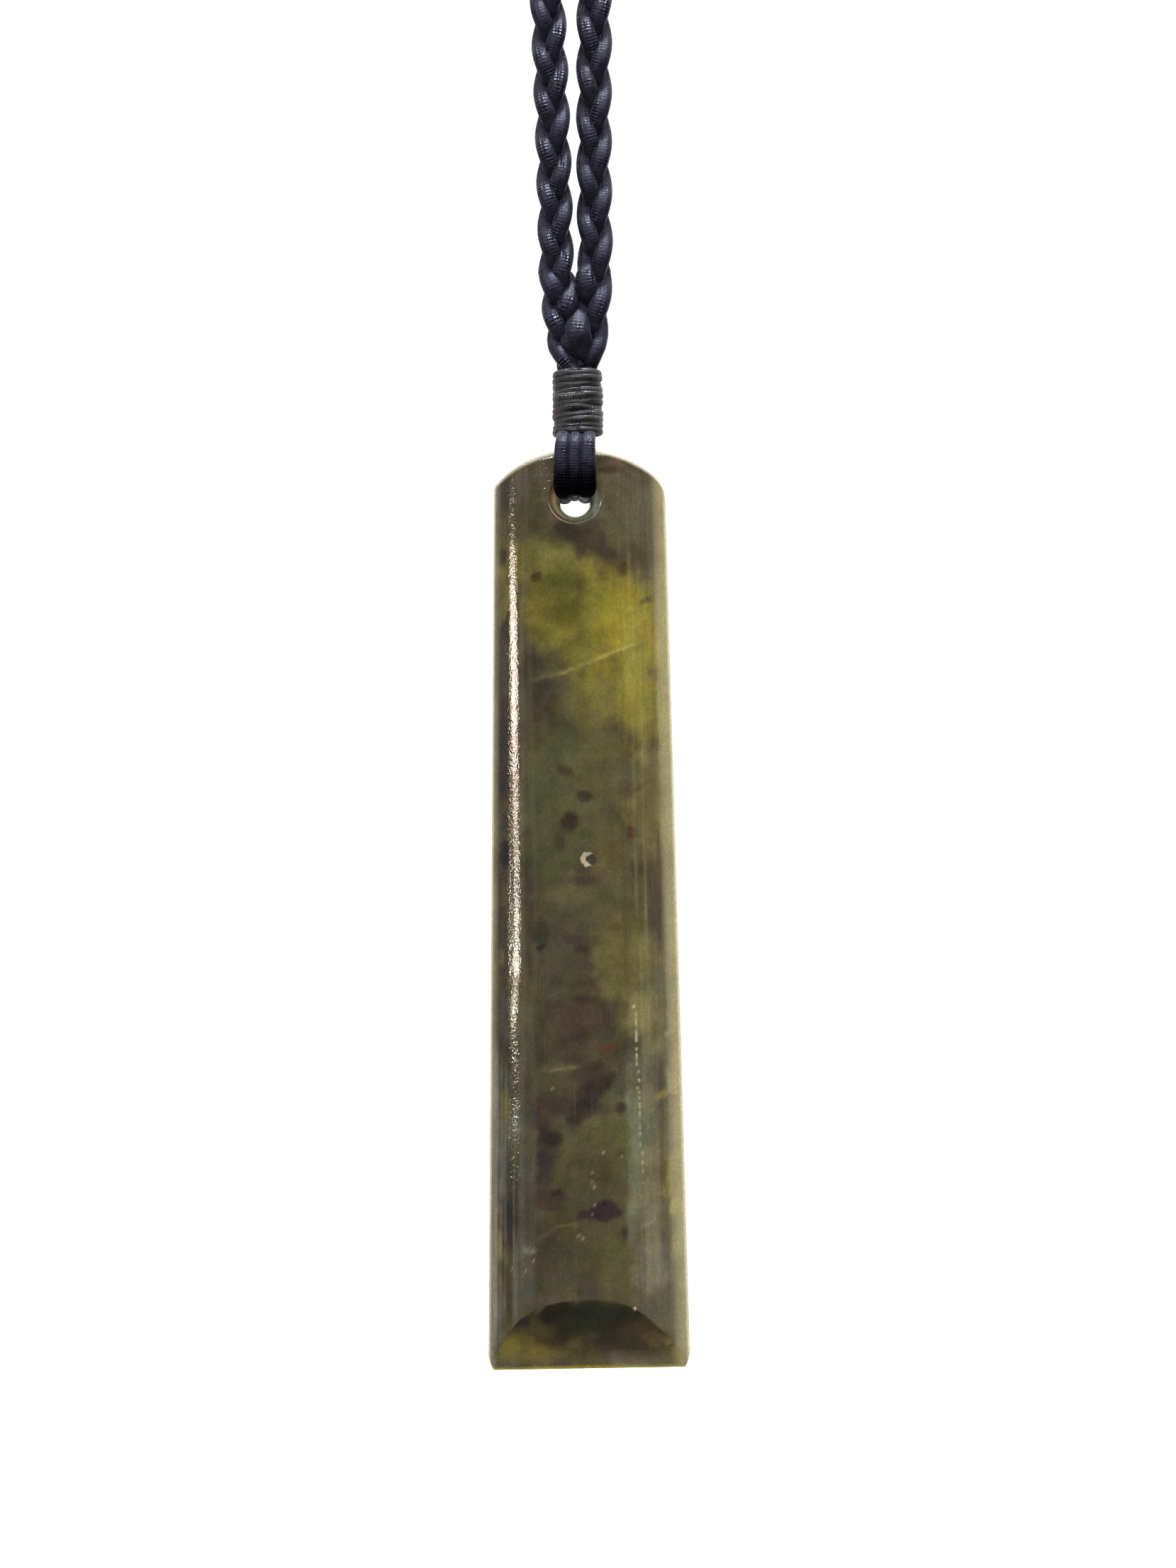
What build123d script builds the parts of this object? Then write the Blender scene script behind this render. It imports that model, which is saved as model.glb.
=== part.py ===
from build123d import *
import os
from math import atan, degrees, radians, sqrt, tan

# Toki adze pendant on its plaited neck loop, hanging from the inside of the top of the loop,
# which is the origin. Millimetres, +Z up, -Y towards the viewer, +X to the viewer's right.

# Stone
stone_length = 60.0        # apex of the poll to the cutting edge
poll_width = 10.95
blade_width = 13.2         # across the cutting edge
poll_thickness = 4.0
blade_thickness = 5.0
poll_shift = 0.35          # middle of the poll, right of the hole
arch_radius = 9.0          # top of the poll, seen from the front
left_corner_radius = 0.5
right_corner_radius = 1.8
poll_edge_radius = 0.25    # polished edges of the poll
bevel_height = 5.3         # front bevel, at the crest of the stone
edge_land = 0.12           # thickness left at the cutting edge
corner_cut_width = 0.35    # clipped ends of the cutting edge
corner_cut_height = 0.9
outline_margin = 0.05      # front outline, outside the ground sides

# Hole, drilled from both faces, so that it is narrowest in the middle
hole_depth = 3.15          # centre of the hole below the apex
hole_rim_radius = 1.6
hole_waist_radius = 1.2
hole_shift = -0.3          # centre of the hole, left of the line that the loop hangs on

# Strands through the hole
strand_width = 0.72
strand_thickness = 0.7
strand_gap = 0.04          # between the strands
strand_rise = 0.22         # strand centre above the hole's centre
strand_clearance = 0.1     # between a strand and the stone
swing_room = 0.2           # more under the strands, over the poll, for the stone's swing
hole_bend_radius = 0.75
strand_lean = 65.0         # degrees that a strand leans in over the poll

# Binding
thread_diameter = 0.43
binding_turns = 10
core_radius = 1.2          # the gathered strands inside the binding
binding_lift = 0.95        # bottom of the binding above the apex
fit_gap = 0.04             # between pieces of the cord that bear on each other

# Plait
plait_diameter = 2.35
plait_spacing = 2.55       # centre to centre where the two plaits part
yoke_height = 6.3
yoke_depth = 2.6           # front to back, at the binding

# Route of the plait's centre line, as x and height above the place where the two plaits part:
# up on the right, over the top and down on the left.
plait_route = [
    (1.275, 0.0),
    (1.275, 6.0),
    (1.48, 17.0),
    (2.0, 38.0),
    (3.1, 80.0),
    (4.55, 137.0),
    (5.95, 194.0),
    (7.2, 251.0),
    (8.1, 300.0),
    (8.4, 325.0),
    (8.45, 344.8),
    (-8.45, 344.8),
    (-8.38, 324.0),
    (-8.1, 298.0),
    (-7.3, 250.0),
    (-6.1, 193.0),
    (-4.7, 136.0),
    (-3.2, 80.0),
    (-2.05, 38.0),
    (-1.5, 17.0),
    (-1.275, 6.0),
    (-1.275, 0.0),
]
arc_share = 0.45           # of the shorter run beside a corner

# Sections of the yoke from the binding up: share of the height, share of the width over both
# plaits, and share of the way from the depth at the binding to one plait's diameter
yoke_sections = [
    (0.0, 0.58, 0.0),
    (0.4, 0.8, 0.3),
    (0.7, 0.93, 0.7),
    (1.0, 1.0, 1.0),
]

# The stone's cross-section over the front, left to right: share of half the width,
# share of the thickness above the flat back
left_back = (-1.0, 0.0)
left_facet_top = (-0.81, 0.5)
left_bevel_top = (-0.66, 0.75)
left_shoulder = (-0.5, 0.885)
crest_left = (-0.3, 0.96)
crest_middle = (-0.1, 0.99)
crest_right = (0.12, 1.0)
right_shoulder = (0.3, 0.955)
right_bevel_top = (0.45, 0.86)
right_facet_top = (0.8, 0.42)
right_back = (1.0, 0.0)

# Places that follow from the sizes
loop_height = max(height for across, height in plait_route)
parting_z = plait_diameter / 2 - loop_height - fit_gap
binding_height = binding_turns * thread_diameter
binding_top = parting_z - yoke_height
binding_bottom = binding_top - binding_height
apex_z = binding_bottom - binding_lift
hole_z = apex_z - hole_depth
edge_z = apex_z - stone_length
back_y = poll_thickness / 2
poll_middle = hole_shift + poll_shift
blade_middle = hole_shift


def stone_section(z, middle, width, thickness):
    """The stone's cross-section at one height."""

    def at(share):
        across, up = share
        return (middle + across * width / 2, back_y - up * thickness)

    with BuildSketch(Plane.XY.offset(z)) as section:
        with BuildLine():
            Line(at(left_back), at(left_facet_top))
            Line(at(left_facet_top), at(left_bevel_top))
            ThreePointArc(at(left_bevel_top), at(left_shoulder), at(crest_left))
            ThreePointArc(at(crest_left), at(crest_middle), at(crest_right))
            ThreePointArc(at(crest_right), at(right_shoulder), at(right_bevel_top))
            Line(at(right_bevel_top), at(right_facet_top))
            Line(at(right_facet_top), at(right_back))
            Line(at(right_back), at(left_back))
        make_face()
    return section.sketch


# Front outline as a slab: the arched poll with its two corners, and the clipped ends of the edge.
# Its front follows the crest of the stone and its back the flat back, with polished edges.
left_top = poll_middle - poll_width / 2 - outline_margin
right_top = poll_middle + poll_width / 2 + outline_margin
left_bottom = blade_middle - blade_width / 2
right_bottom = blade_middle + blade_width / 2
arch_drop = arch_radius - sqrt(arch_radius**2 - (right_top - poll_middle) ** 2)
taper = degrees(atan((blade_thickness - poll_thickness) / stone_length))
with BuildPart() as outline_slab:
    with BuildSketch(Plane.XZ.offset(-back_y)) as front_outline:
        with BuildLine():
            Polyline(
                (left_top, apex_z - arch_drop),
                (left_bottom - outline_margin, edge_z + corner_cut_height),
                (left_bottom + corner_cut_width, edge_z),
                (right_bottom - corner_cut_width, edge_z),
                (right_bottom + outline_margin, edge_z + corner_cut_height),
                (right_top, apex_z - arch_drop),
            )
            ThreePointArc(
                (right_top, apex_z - arch_drop),
                (poll_middle, apex_z),
                (left_top, apex_z - arch_drop),
            )
        make_face()
        left_corner = front_outline.vertices().sort_by_distance((left_top, apex_z - arch_drop))[0]
        fillet(left_corner, left_corner_radius)
        right_corner = front_outline.vertices().sort_by_distance((right_top, apex_z - arch_drop))[0]
        fillet(right_corner, right_corner_radius)
    extrude(amount=2 * blade_thickness)
    crest_plane = Plane(
        origin=(0, back_y - poll_thickness, apex_z), x_dir=(1, 0, 0), z_dir=(0, -1, 0)
    ).rotated((-taper, 0, 0))
    split(bisect_by=crest_plane, keep=Keep.BOTTOM)
    arch_face = outline_slab.faces().filter_by(GeomType.CYLINDER).sort_by(SortBy.AREA)[-1]
    fillet(arch_face.edges().filter_by(Axis.Y, reverse=True), poll_edge_radius)

with BuildPart() as toki_stone:
    loft(
        [
            stone_section(edge_z, blade_middle, blade_width, blade_thickness),
            stone_section(apex_z, poll_middle, poll_width, poll_thickness),
        ],
        ruled=True,
    )
    add(outline_slab.part, mode=Mode.INTERSECT)
    # Front bevel, ground from the crest down to the cutting edge at the back
    bevel_depth = blade_thickness - edge_land
    with BuildSketch(Plane.YZ) as bevel_side:
        with BuildLine():
            Polyline(
                (back_y - edge_land, edge_z),
                (back_y - edge_land - 2 * bevel_depth, edge_z + 2 * bevel_height),
                (back_y - edge_land - 2 * bevel_depth, edge_z - edge_land),
                (back_y - edge_land, edge_z - edge_land),
                close=True,
            )
        make_face()
    extrude(amount=blade_width, both=True, mode=Mode.SUBTRACT)
    # Waisted hole
    hole_plane = Plane(origin=(hole_shift, 0, hole_z), x_dir=(1, 0, 0), z_dir=(0, 0, 1))
    with BuildSketch(hole_plane) as hole_half:
        with BuildLine():
            Polyline(
                (hole_rim_radius, back_y),
                (hole_rim_radius, 2 * back_y),
                (0, 2 * back_y),
                (0, -2 * back_y),
                (hole_rim_radius, -2 * back_y),
                (hole_rim_radius, -back_y),
            )
            ThreePointArc((hole_rim_radius, -back_y), (hole_waist_radius, 0), (hole_rim_radius, back_y))
        make_face()
    revolve(axis=Axis((hole_shift, 0, hole_z), (0, 1, 0)), mode=Mode.SUBTRACT)
toki_stone.part.label = "toki_stone"


def hole_strand(x):
    """One strand: down the front of the stone, through the hole and up the back."""
    leg_y = back_y + strand_clearance + strand_thickness / 2
    poll_bend_radius = poll_edge_radius + strand_clearance + strand_thickness / 2
    bend_start_z = apex_z - poll_edge_radius + swing_room
    corner_z = bend_start_z + poll_bend_radius * tan(radians(strand_lean) / 2)
    end_y = strand_gap
    end_z = corner_z + (leg_y - end_y) / tan(radians(strand_lean))
    through_z = hole_z + strand_rise
    with BuildPart() as strand:
        with BuildLine(Plane.YZ.offset(x)) as route:
            FilletPolyline(
                (-end_y, end_z),
                (-leg_y, corner_z),
                (-leg_y, through_z),
                (leg_y, through_z),
                (leg_y, corner_z),
                (end_y, end_z),
                radius=[poll_bend_radius, hole_bend_radius, hole_bend_radius, poll_bend_radius],
            )
        start = route.line @ 0
        with BuildSketch(Plane(origin=start, x_dir=(1, 0, 0), z_dir=route.line % 0)):
            Ellipse(strand_width / 2, strand_thickness / 2)
        sweep()
        split(bisect_by=Plane.XY.offset(binding_bottom - fit_gap), keep=Keep.BOTTOM)
    return strand.part


strand_pitch = strand_width + strand_gap
hole_strand_left = hole_strand(hole_shift - strand_pitch)
hole_strand_left.label = "hole_strand_left"
hole_strand_middle = hole_strand(hole_shift)
hole_strand_middle.label = "hole_strand_middle"
hole_strand_right = hole_strand(hole_shift + strand_pitch)
hole_strand_right.label = "hole_strand_right"

# Whipping of thread round the gathered strands: a sleeve with a ridge for each turn
with BuildPart() as binding:
    sleeve_radius = core_radius + fit_gap
    with BuildSketch(Plane.XZ) as binding_half:
        with Locations((sleeve_radius + thread_diameter / 4, binding_bottom + binding_height / 2)):
            Rectangle(thread_diameter / 2, binding_height)
        for turn in range(binding_turns):
            turn_z = binding_bottom + (turn + 0.5) * thread_diameter
            with Locations((sleeve_radius + thread_diameter / 2, turn_z)):
                Circle(thread_diameter / 2)
    revolve(axis=Axis.Z)
binding.part.label = "binding"

# Gathered plait ends: flat and as wide as both plaits at the top, round inside the binding
with BuildPart() as plait_yoke:
    yoke_width = plait_spacing + plait_diameter
    for height_share, width_share, depth_share in yoke_sections:
        depth = yoke_depth + depth_share * (plait_diameter - yoke_depth)
        with BuildSketch(Plane.XY.offset(binding_top + fit_gap + height_share * (yoke_height - fit_gap))):
            SlotOverall(width_share * yoke_width, depth)
    loft()
    with BuildSketch(Plane.XY.offset(binding_bottom)):
        Circle(core_radius)
    extrude(amount=binding_height + 2 * fit_gap)
plait_yoke.part.label = "plait_yoke"


def corner_radii(points):
    """The largest tangent arc that the two runs beside each corner allow."""
    radii = []
    for before, corner, after in zip(points, points[1:], points[2:]):
        run_in = Vector(*corner) - Vector(*before)
        run_out = Vector(*after) - Vector(*corner)
        half_turn = radians(run_in.get_angle(run_out)) / 2
        radii.append(arc_share * min(run_in.length, run_out.length) / tan(half_turn))
    return radii


# The plait, one closed way round from the yoke and back to it
with BuildPart() as neck_plait:
    plait_points = [(across, parting_z + fit_gap + height) for across, height in plait_route]
    plait_radii = corner_radii(plait_points)
    with BuildLine(Plane.XZ) as plait_line:
        FilletPolyline(*plait_points, radius=plait_radii)
    with BuildSketch(Plane(origin=plait_line.line @ 0, z_dir=plait_line.line % 0)) as plait_section:
        Circle(plait_diameter / 2)
    sweep()
neck_plait.part.label = "neck_plait"

plait_length = plait_line.wire().length
print("plait corner radii", [round(radius, 1) for radius in plait_radii])
print("plait length", round(plait_length, 1))
print("plait volume over section times length", neck_plait.part.volume / (plait_length * plait_section.sketch.area))

os.makedirs("parts", exist_ok=True)
for piece in (
    toki_stone.part,
    hole_strand_left,
    hole_strand_middle,
    hole_strand_right,
    binding.part,
    plait_yoke.part,
    neck_plait.part,
):
    export_step(piece, f"parts/{piece.label}.step")
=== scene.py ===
from math import pi, radians

import bmesh
import bpy
import numpy as np
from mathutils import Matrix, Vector


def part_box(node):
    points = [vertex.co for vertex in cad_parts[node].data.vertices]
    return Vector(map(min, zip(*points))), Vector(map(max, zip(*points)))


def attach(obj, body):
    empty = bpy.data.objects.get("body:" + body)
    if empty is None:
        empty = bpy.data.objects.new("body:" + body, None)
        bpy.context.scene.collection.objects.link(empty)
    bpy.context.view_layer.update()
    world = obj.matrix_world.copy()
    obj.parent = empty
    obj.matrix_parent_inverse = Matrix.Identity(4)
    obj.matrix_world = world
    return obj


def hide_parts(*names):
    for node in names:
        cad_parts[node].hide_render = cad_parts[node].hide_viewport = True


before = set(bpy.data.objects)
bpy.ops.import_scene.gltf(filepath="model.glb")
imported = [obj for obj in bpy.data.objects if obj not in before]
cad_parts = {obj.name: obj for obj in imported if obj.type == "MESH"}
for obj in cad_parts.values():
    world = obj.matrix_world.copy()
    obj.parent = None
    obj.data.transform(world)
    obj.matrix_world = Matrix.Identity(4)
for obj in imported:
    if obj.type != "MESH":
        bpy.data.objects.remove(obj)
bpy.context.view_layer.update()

# Toki adze pendant. Shapes are worked out in millimetres in the part's frame until a mesh is made:
# origin inside the top of the neck loop, +Z up, -Y towards the viewer, +X to the viewer's right.


def boxMm(node):
    low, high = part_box(node)
    return np.array(low) * 1000, np.array(high) * 1000


def linear(hexColour):
    # sRGB hex to the linear values that shaders take
    parts = [int(hexColour[i:i + 2], 16) / 255 for i in (1, 3, 5)]
    return tuple(p / 12.92 if p <= 0.04045 else ((p + 0.055) / 1.055) ** 2.4 for p in parts) + (1.0,)


def setInputs(tree, node, inputs):
    # a socket is linked, anything else is the input's own value
    for key, value in inputs.items():
        if isinstance(value, bpy.types.NodeSocket):
            tree.links.new(value, node.inputs[key])
        else:
            node.inputs[key].default_value = value


def addNode(tree, kind, inputs=None, **settings):
    node = tree.nodes.new(kind)
    for name, value in settings.items():
        setattr(node, name, value)
    setInputs(tree, node, inputs or {})
    return node


def mathNode(tree, operation, first, second=0.0, third=0.0):
    inputs = {0: first, 1: second, 2: third}
    return addNode(tree, "ShaderNodeMath", inputs, operation=operation).outputs[0]


def mixColour(tree, share, first, second, blend="MIX"):
    # 0, 6 and 7 are the colour sockets of a mix node
    inputs = {0: share, 6: first, 7: second}
    settings = {"data_type": "RGBA", "blend_type": blend, "clamp_factor": True}
    return addNode(tree, "ShaderNodeMix", inputs, **settings).outputs[2]


def fade(tree, value, low, high, start=0.0, end=1.0):
    inputs = {"Value": value, "From Min": low, "From Max": high, "To Min": start, "To Max": end}
    return addNode(tree, "ShaderNodeMapRange", inputs, interpolation_type="SMOOTHSTEP").outputs[0]


def noise(tree, vector, scale, detail=2.0, rough=0.5):
    inputs = {"Vector": vector, "Scale": scale, "Detail": detail, "Roughness": rough}
    return addNode(tree, "ShaderNodeTexNoise", inputs).outputs["Fac"]


def newMaterial(name):
    material = bpy.data.materials.new(name)
    material.use_nodes = True
    tree = material.node_tree
    tree.nodes.clear()
    output = addNode(tree, "ShaderNodeOutputMaterial")
    shader = addNode(tree, "ShaderNodeBsdfPrincipled")
    tree.links.new(shader.outputs[0], output.inputs[0])
    return material, tree, shader


def objectMm(tree):
    # the piece's own coordinates, in millimetres
    inputs = {0: addNode(tree, "ShaderNodeTexCoord").outputs["Object"], "Scale": 1000}
    return addNode(tree, "ShaderNodeVectorMath", inputs, operation="SCALE").outputs[0]


def makePiece(name, points, quads, nodes, body, material, uvs=None, colours=None):
    mesh = bpy.data.meshes.new(name)
    mesh.from_pydata((np.asarray(points) / 1000).tolist(), [], np.asarray(quads).tolist())
    if uvs is not None:
        layer = mesh.uv_layers.new(name="along")
        layer.data.foreach_set("uv", np.asarray(uvs, dtype=np.float32).ravel())
    if colours is not None:
        layer = mesh.color_attributes.new("clouds", "FLOAT_COLOR", "POINT")
        rows = np.concatenate([colours, np.ones((len(colours), 1))], axis=1)
        layer.data.foreach_set("color", rows.astype(np.float32).ravel())
    cleaned = bmesh.new()
    cleaned.from_mesh(mesh)
    weldMetres = 2e-7
    bmesh.ops.remove_doubles(cleaned, verts=cleaned.verts, dist=weldMetres)
    bmesh.ops.recalc_face_normals(cleaned, faces=cleaned.faces)
    # the flat ends of a cord
    ends = {face for face in cleaned.faces if uvs is not None and len(face.verts) == 3}
    sharp = [edge for edge in cleaned.edges if sum(face in ends for face in edge.link_faces) == 1]
    for face in cleaned.faces:
        face.smooth = True
    for edge in sharp:
        edge.smooth = False
    cleaned.to_mesh(mesh)
    cleaned.free()
    mesh.materials.append(material)
    piece = bpy.data.objects.new(name, mesh)
    bpy.context.scene.collection.objects.link(piece)
    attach(piece, body)
    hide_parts(*nodes)
    return piece


def unit(vectors):
    return vectors / np.linalg.norm(vectors, axis=-1, keepdims=True)


def smoothstep(value, low, high):
    share = np.clip((value - low) / (high - low), 0, 1)
    return share * share * (3 - 2 * share)


def tube(centres, flatWay, halfWidth, halfThickness, sides=16):
    # a soft cord along centres, flattened across flatWay and closed at both ends
    centres = np.asarray(centres, dtype=float)
    count = len(centres)
    halfWidth = np.broadcast_to(halfWidth, count)
    halfThickness = np.broadcast_to(halfThickness, count)
    along = unit(np.gradient(centres, axis=0))
    flat = np.broadcast_to(flatWay, centres.shape)
    flat = unit(flat - along * np.sum(flat * along, axis=1, keepdims=True))
    across = np.cross(along, flat)
    angles = np.arange(sides) * 2 * pi / sides
    rings = (centres[:, None]
             + across[:, None] * (halfWidth[:, None] * np.cos(angles))[..., None]
             + flat[:, None] * (halfThickness[:, None] * np.sin(angles))[..., None])
    points = np.concatenate([np.repeat(centres[:1], sides, axis=0), rings.reshape(-1, 3),
                             np.repeat(centres[-1:], sides, axis=0)])
    lengths = np.concatenate([[0], np.cumsum(np.linalg.norm(np.diff(centres, axis=0), axis=1))])
    lengths = np.concatenate([lengths[:1], lengths, lengths[-1:]])
    row = np.arange(count + 1)[:, None] * sides
    side = np.arange(sides)[None]
    after = (side + 1) % sides
    quads = [row + side, row + after, row + sides + after, row + sides + side]
    quads = np.stack(quads, axis=-1).reshape(-1, 4)
    lower = np.broadcast_to(lengths[:-1, None], (count + 1, sides))
    upper = np.broadcast_to(lengths[1:, None], (count + 1, sides))
    left = np.broadcast_to(side / sides, (count + 1, sides))
    right = left + 1 / sides
    corners = [(lower, left), (lower, right), (upper, right), (upper, left)]
    uvs = np.stack([np.stack(corner, -1) for corner in corners], axis=2)
    return points, quads, uvs.reshape(-1, 2)


def joinTubes(tubes):
    points, quads, uvs, offset = [], [], [], 0
    for tubePoints, tubeQuads, tubeUvs in tubes:
        points.append(tubePoints)
        quads.append(tubeQuads + offset)
        uvs.append(tubeUvs)
        offset += len(tubePoints)
    return np.concatenate(points), np.concatenate(quads), np.concatenate(uvs)


# Stone

stoneLow, stoneHigh = boxMm("toki_stone")
stone = {
    "apexZ": stoneHigh[2],
    "edgeZ": stoneLow[2],
    "backY": stoneHigh[1],
    "length": 60.0,
    "pollMiddle": 0.02,
    "bladeMiddle": -0.32,
    "pollHalfWidth": 5.58,
    "bladeHalfWidth": 6.65,
    "pollThickness": 4.0,
    "bladeThickness": 5.0,
    "archRadius": 9.0,
    "leftCorner": 0.5,
    "rightCorner": 1.8,
    "pollEdge": 0.3,
    "bevelHeight": 5.45,
    "bevelRounding": 0.03,   # where the bevel meets the crest
    "edgeLand": 0.12,
    "leastThickness": 0.02,
    "clipWidth": 0.35,
    "clipHeight": 0.9,
    "holeX": -0.3,
    "holeZ": stoneHigh[2] - 3.15,
    "holeRim": 1.6,
    "holeWaist": 0.97,
    "holeHalfDepth": 2.0,
    "waistDrop": 0.12,       # the waist lies this much under the rims' centre
    "holeEdge": 0.16,        # softened rim of the hole
    "frontSoftness": 0.42,   # rounding between the ground facets of the front
    "backSoftness": 0.12,
    "waves": 0.022,          # unevenness left by grinding
    "sectionSize": (6.0, 4.5),   # half width and thickness at which the facets are rounded
    "sectionStep": 0.02,
    "columns": 133,          # fineness of the mesh, from here on
    "rows": 290,
    "bevelRows": 22,
    "capRows": 7,
    "holeWindow": 2.35,      # half the square round the hole that rings of faces fill
    "windowRings": 15,
    "rimRings": 7,
    "boreRings": 27,
}
# Cross-section over the front, left to right: share of half the width, share of the thickness
stoneSection = [(-1, 0), (-0.81, 0.5), (-0.66, 0.75), (-0.5, 0.885), (-0.3, 0.96), (-0.1, 0.99),
                (0.12, 1), (0.3, 0.955), (0.45, 0.86), (0.57, 0.73), (0.8, 0.42), (1, 0)]
# Wandering of the left facets: share of the way down, shift across
facetDrift = [(0, 0.01), (0.1, 0.017), (0.19, 0.003), (0.28, -0.01), (0.36, -0.02), (0.46, -0.034),
              (0.565, -0.034), (0.605, -0.008), (0.625, -0.01), (0.7, -0.028), (1, -0.01)]


def sectionHeights(shares):
    # front and back of the rounded cross-section at each share across
    scale, step = np.array(stone["sectionSize"]), stone["sectionStep"]
    corners = np.array(stoneSection + [(-1, 0)]) * scale
    dense = [np.linspace(a, b, max(2, int(np.hypot(*(b - a)) / step)), endpoint=False)
             for a, b in zip(corners, corners[1:])]
    dense = np.concatenate(dense)
    result = []
    for softness in (stone["frontSoftness"], stone["backSoftness"]):
        reach = int(4 * softness / step)
        kernel = np.exp(-0.5 * (np.arange(-reach, reach + 1) * step / softness) ** 2)
        kernel /= kernel.sum()
        wrapped = np.concatenate([dense[-reach:], dense, dense[:reach]])
        result.append(np.stack([np.convolve(wrapped[:, i], kernel, "valid") for i in (0, 1)], axis=1))
    soft, crisp = result
    # facets soft, the long edges at the back crisp
    height = dense[:, 1:2]
    curve = crisp + (soft - crisp) * smoothstep(height, 0.5, 1.6)
    curve[:, 0] /= np.abs(curve[:, 0]).max() / scale[0]
    left, right = int(np.argmin(curve[:, 0])), int(np.argmax(curve[:, 0]))
    front = np.roll(curve, -left, axis=0)[:(right - left) % len(curve) + 1]
    back = np.roll(curve, -right, axis=0)[:(left - right) % len(curve) + 1][::-1]
    heights = []
    for branch in (front, back):
        across = np.maximum.accumulate(branch[:, 0] / scale[0])
        across = (across - across[0]) / (across[-1] - across[0]) * 2 - 1
        heights.append(np.interp(shares, across, branch[:, 1] / scale[1]))
    return heights


shareTable = np.sin(np.linspace(-pi / 2, pi / 2, 801))
frontTable, backTable = sectionHeights(shareTable)


def down(z):
    return (stone["apexZ"] - z) / (stone["apexZ"] - stone["edgeZ"])


def middleAt(z):
    return stone["pollMiddle"] + (stone["bladeMiddle"] - stone["pollMiddle"]) * down(z)


def halfWidthAt(z):
    return stone["pollHalfWidth"] + (stone["bladeHalfWidth"] - stone["pollHalfWidth"]) * down(z)


def thicknessAt(z):
    return stone["pollThickness"] + (stone["bladeThickness"] - stone["pollThickness"]) * down(z)


bevelSlope = (stone["bladeThickness"] - stone["edgeLand"]) / stone["bevelHeight"]


def bevelEnd(across):
    # height of the bevel's upper border above the edge, at a share across
    front = np.interp(across, shareTable, frontTable)
    return (stone["bladeThickness"] * front - stone["edgeLand"]) / (bevelSlope + front / stone["length"])


# Small damage of the front: across, height above the edge, radius, depth
stoneDents = [
    (0.2, 33.55, 0.55, 0.08),     # crescent pit
    (2.64, 4.6, 0.3, 0.1),        # chip over the bevel
    (0.95, 33.58, 0.22, 0.05),
]


def frontY(x, z):
    share = np.clip((x - middleAt(z)) / halfWidthAt(z), -1, 1)
    drift = np.interp(down(z), *np.array(facetDrift).T)
    # only the left facets drift, and the left edge stays where it is
    drift = drift * smoothstep(-share, 0.4, 0.62) * np.clip((share + 1) / (0.19 - drift), 0, 1)
    height = np.interp(share + drift, shareTable, frontTable) * thicknessAt(z)
    flow = (np.sin(0.23 * z + 0.9 * x + 0.7) * np.sin(0.61 * x + 1.1)
            + 0.6 * np.sin(0.71 * z - 0.7 * x + 2.0) + 0.45 * np.sin(1.63 * z + 0.9 * x)
            + 0.35 * np.sin(2.3 * x + 0.31 * z + 0.5))
    height = height - stone["waves"] * (1 + flow / 2.4) * smoothstep(1 - np.abs(share), 0, 0.12)
    for across, above, radius, depth in stoneDents:
        distance = np.hypot(x - across, z - stone["edgeZ"] - above) / radius
        height = height - depth * (1 - smoothstep(distance, 0.25, 1))
    # the lower of front and bevel, with a narrow rounding between them
    gap = stone["edgeLand"] + (z - stone["edgeZ"]) * bevelSlope - height
    rounding = stone["bevelRounding"]
    height = height + 0.5 * (gap - np.sqrt(gap * gap + 4 * rounding * rounding))
    return stone["backY"] - np.maximum(height, stone["leastThickness"])


def backY(x, z):
    share = np.clip((x - middleAt(z)) / halfWidthAt(z), -1, 1)
    return stone["backY"] - np.interp(share, shareTable, backTable) * thicknessAt(z)


def topZ(x):
    # the arched poll with its two corners, seen from the front
    centreX, radius = stone["pollMiddle"], stone["archRadius"]
    centreZ = stone["apexZ"] - radius
    reach = np.clip(x - centreX, -radius, radius)
    top = centreZ + np.sqrt(radius ** 2 - reach ** 2)
    for sign, corner in ((-1, stone["leftCorner"]), (1, stone["rightCorner"])):
        sideX = centreX + sign * stone["pollHalfWidth"]
        cornerX = sideX - sign * corner
        cornerZ = centreZ + np.sqrt((radius - corner) ** 2 - (cornerX - centreX) ** 2)
        tangentX = centreX + (cornerX - centreX) * radius / (radius - corner)
        beyond = sign * (x - tangentX) > 0
        bend = cornerZ + np.sqrt(np.maximum(corner ** 2 - (x - cornerX) ** 2, 0))
        top = np.where(beyond, bend, top)
    return top


gridShares = np.sin(np.linspace(-pi / 2, pi / 2, stone["columns"]))
bevelRows = np.append(np.linspace(0, 1, stone["bevelRows"])[:-1] ** 0.9, 0.985)
bodyRows = np.linspace(0, 1, stone["rows"])
bodyRows[1] = 0.0016         # close to the bevel's upper border, which keeps it crisp


def stoneLoop(share, low, joint, high):
    # one column of points: up the bevel and the front, over the poll and down the back
    z = np.concatenate([low + (joint - low) * bevelRows, joint + (high - joint) * bodyRows])
    x = middleAt(z) + share * halfWidthAt(z)
    front, back = frontY(x, z), backY(x, z)
    front = np.minimum(front, back)
    # rounded edge over the poll: both faces draw in over the last stretch
    edge = max(min(stone["pollEdge"], 0.48 * (back[-1] - front[-1])), 1e-4)
    near = np.clip((z - (high - edge)) / edge, 0, 1)
    draw = edge * (1 - np.sqrt(1 - near ** 2))
    front = front + draw
    back = back - draw * 0.8
    cap = np.linspace(0, 1, stone["capRows"])[1:-1]
    capY = front[-1] + (back[-1] - front[-1]) * cap
    return np.concatenate([
        np.stack([x, front, z], axis=1),
        np.stack([np.full(len(cap), x[-1]), capY, np.full(len(cap), high)], axis=1),
        np.stack([x, back, z], axis=1)[::-1],
    ])


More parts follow.
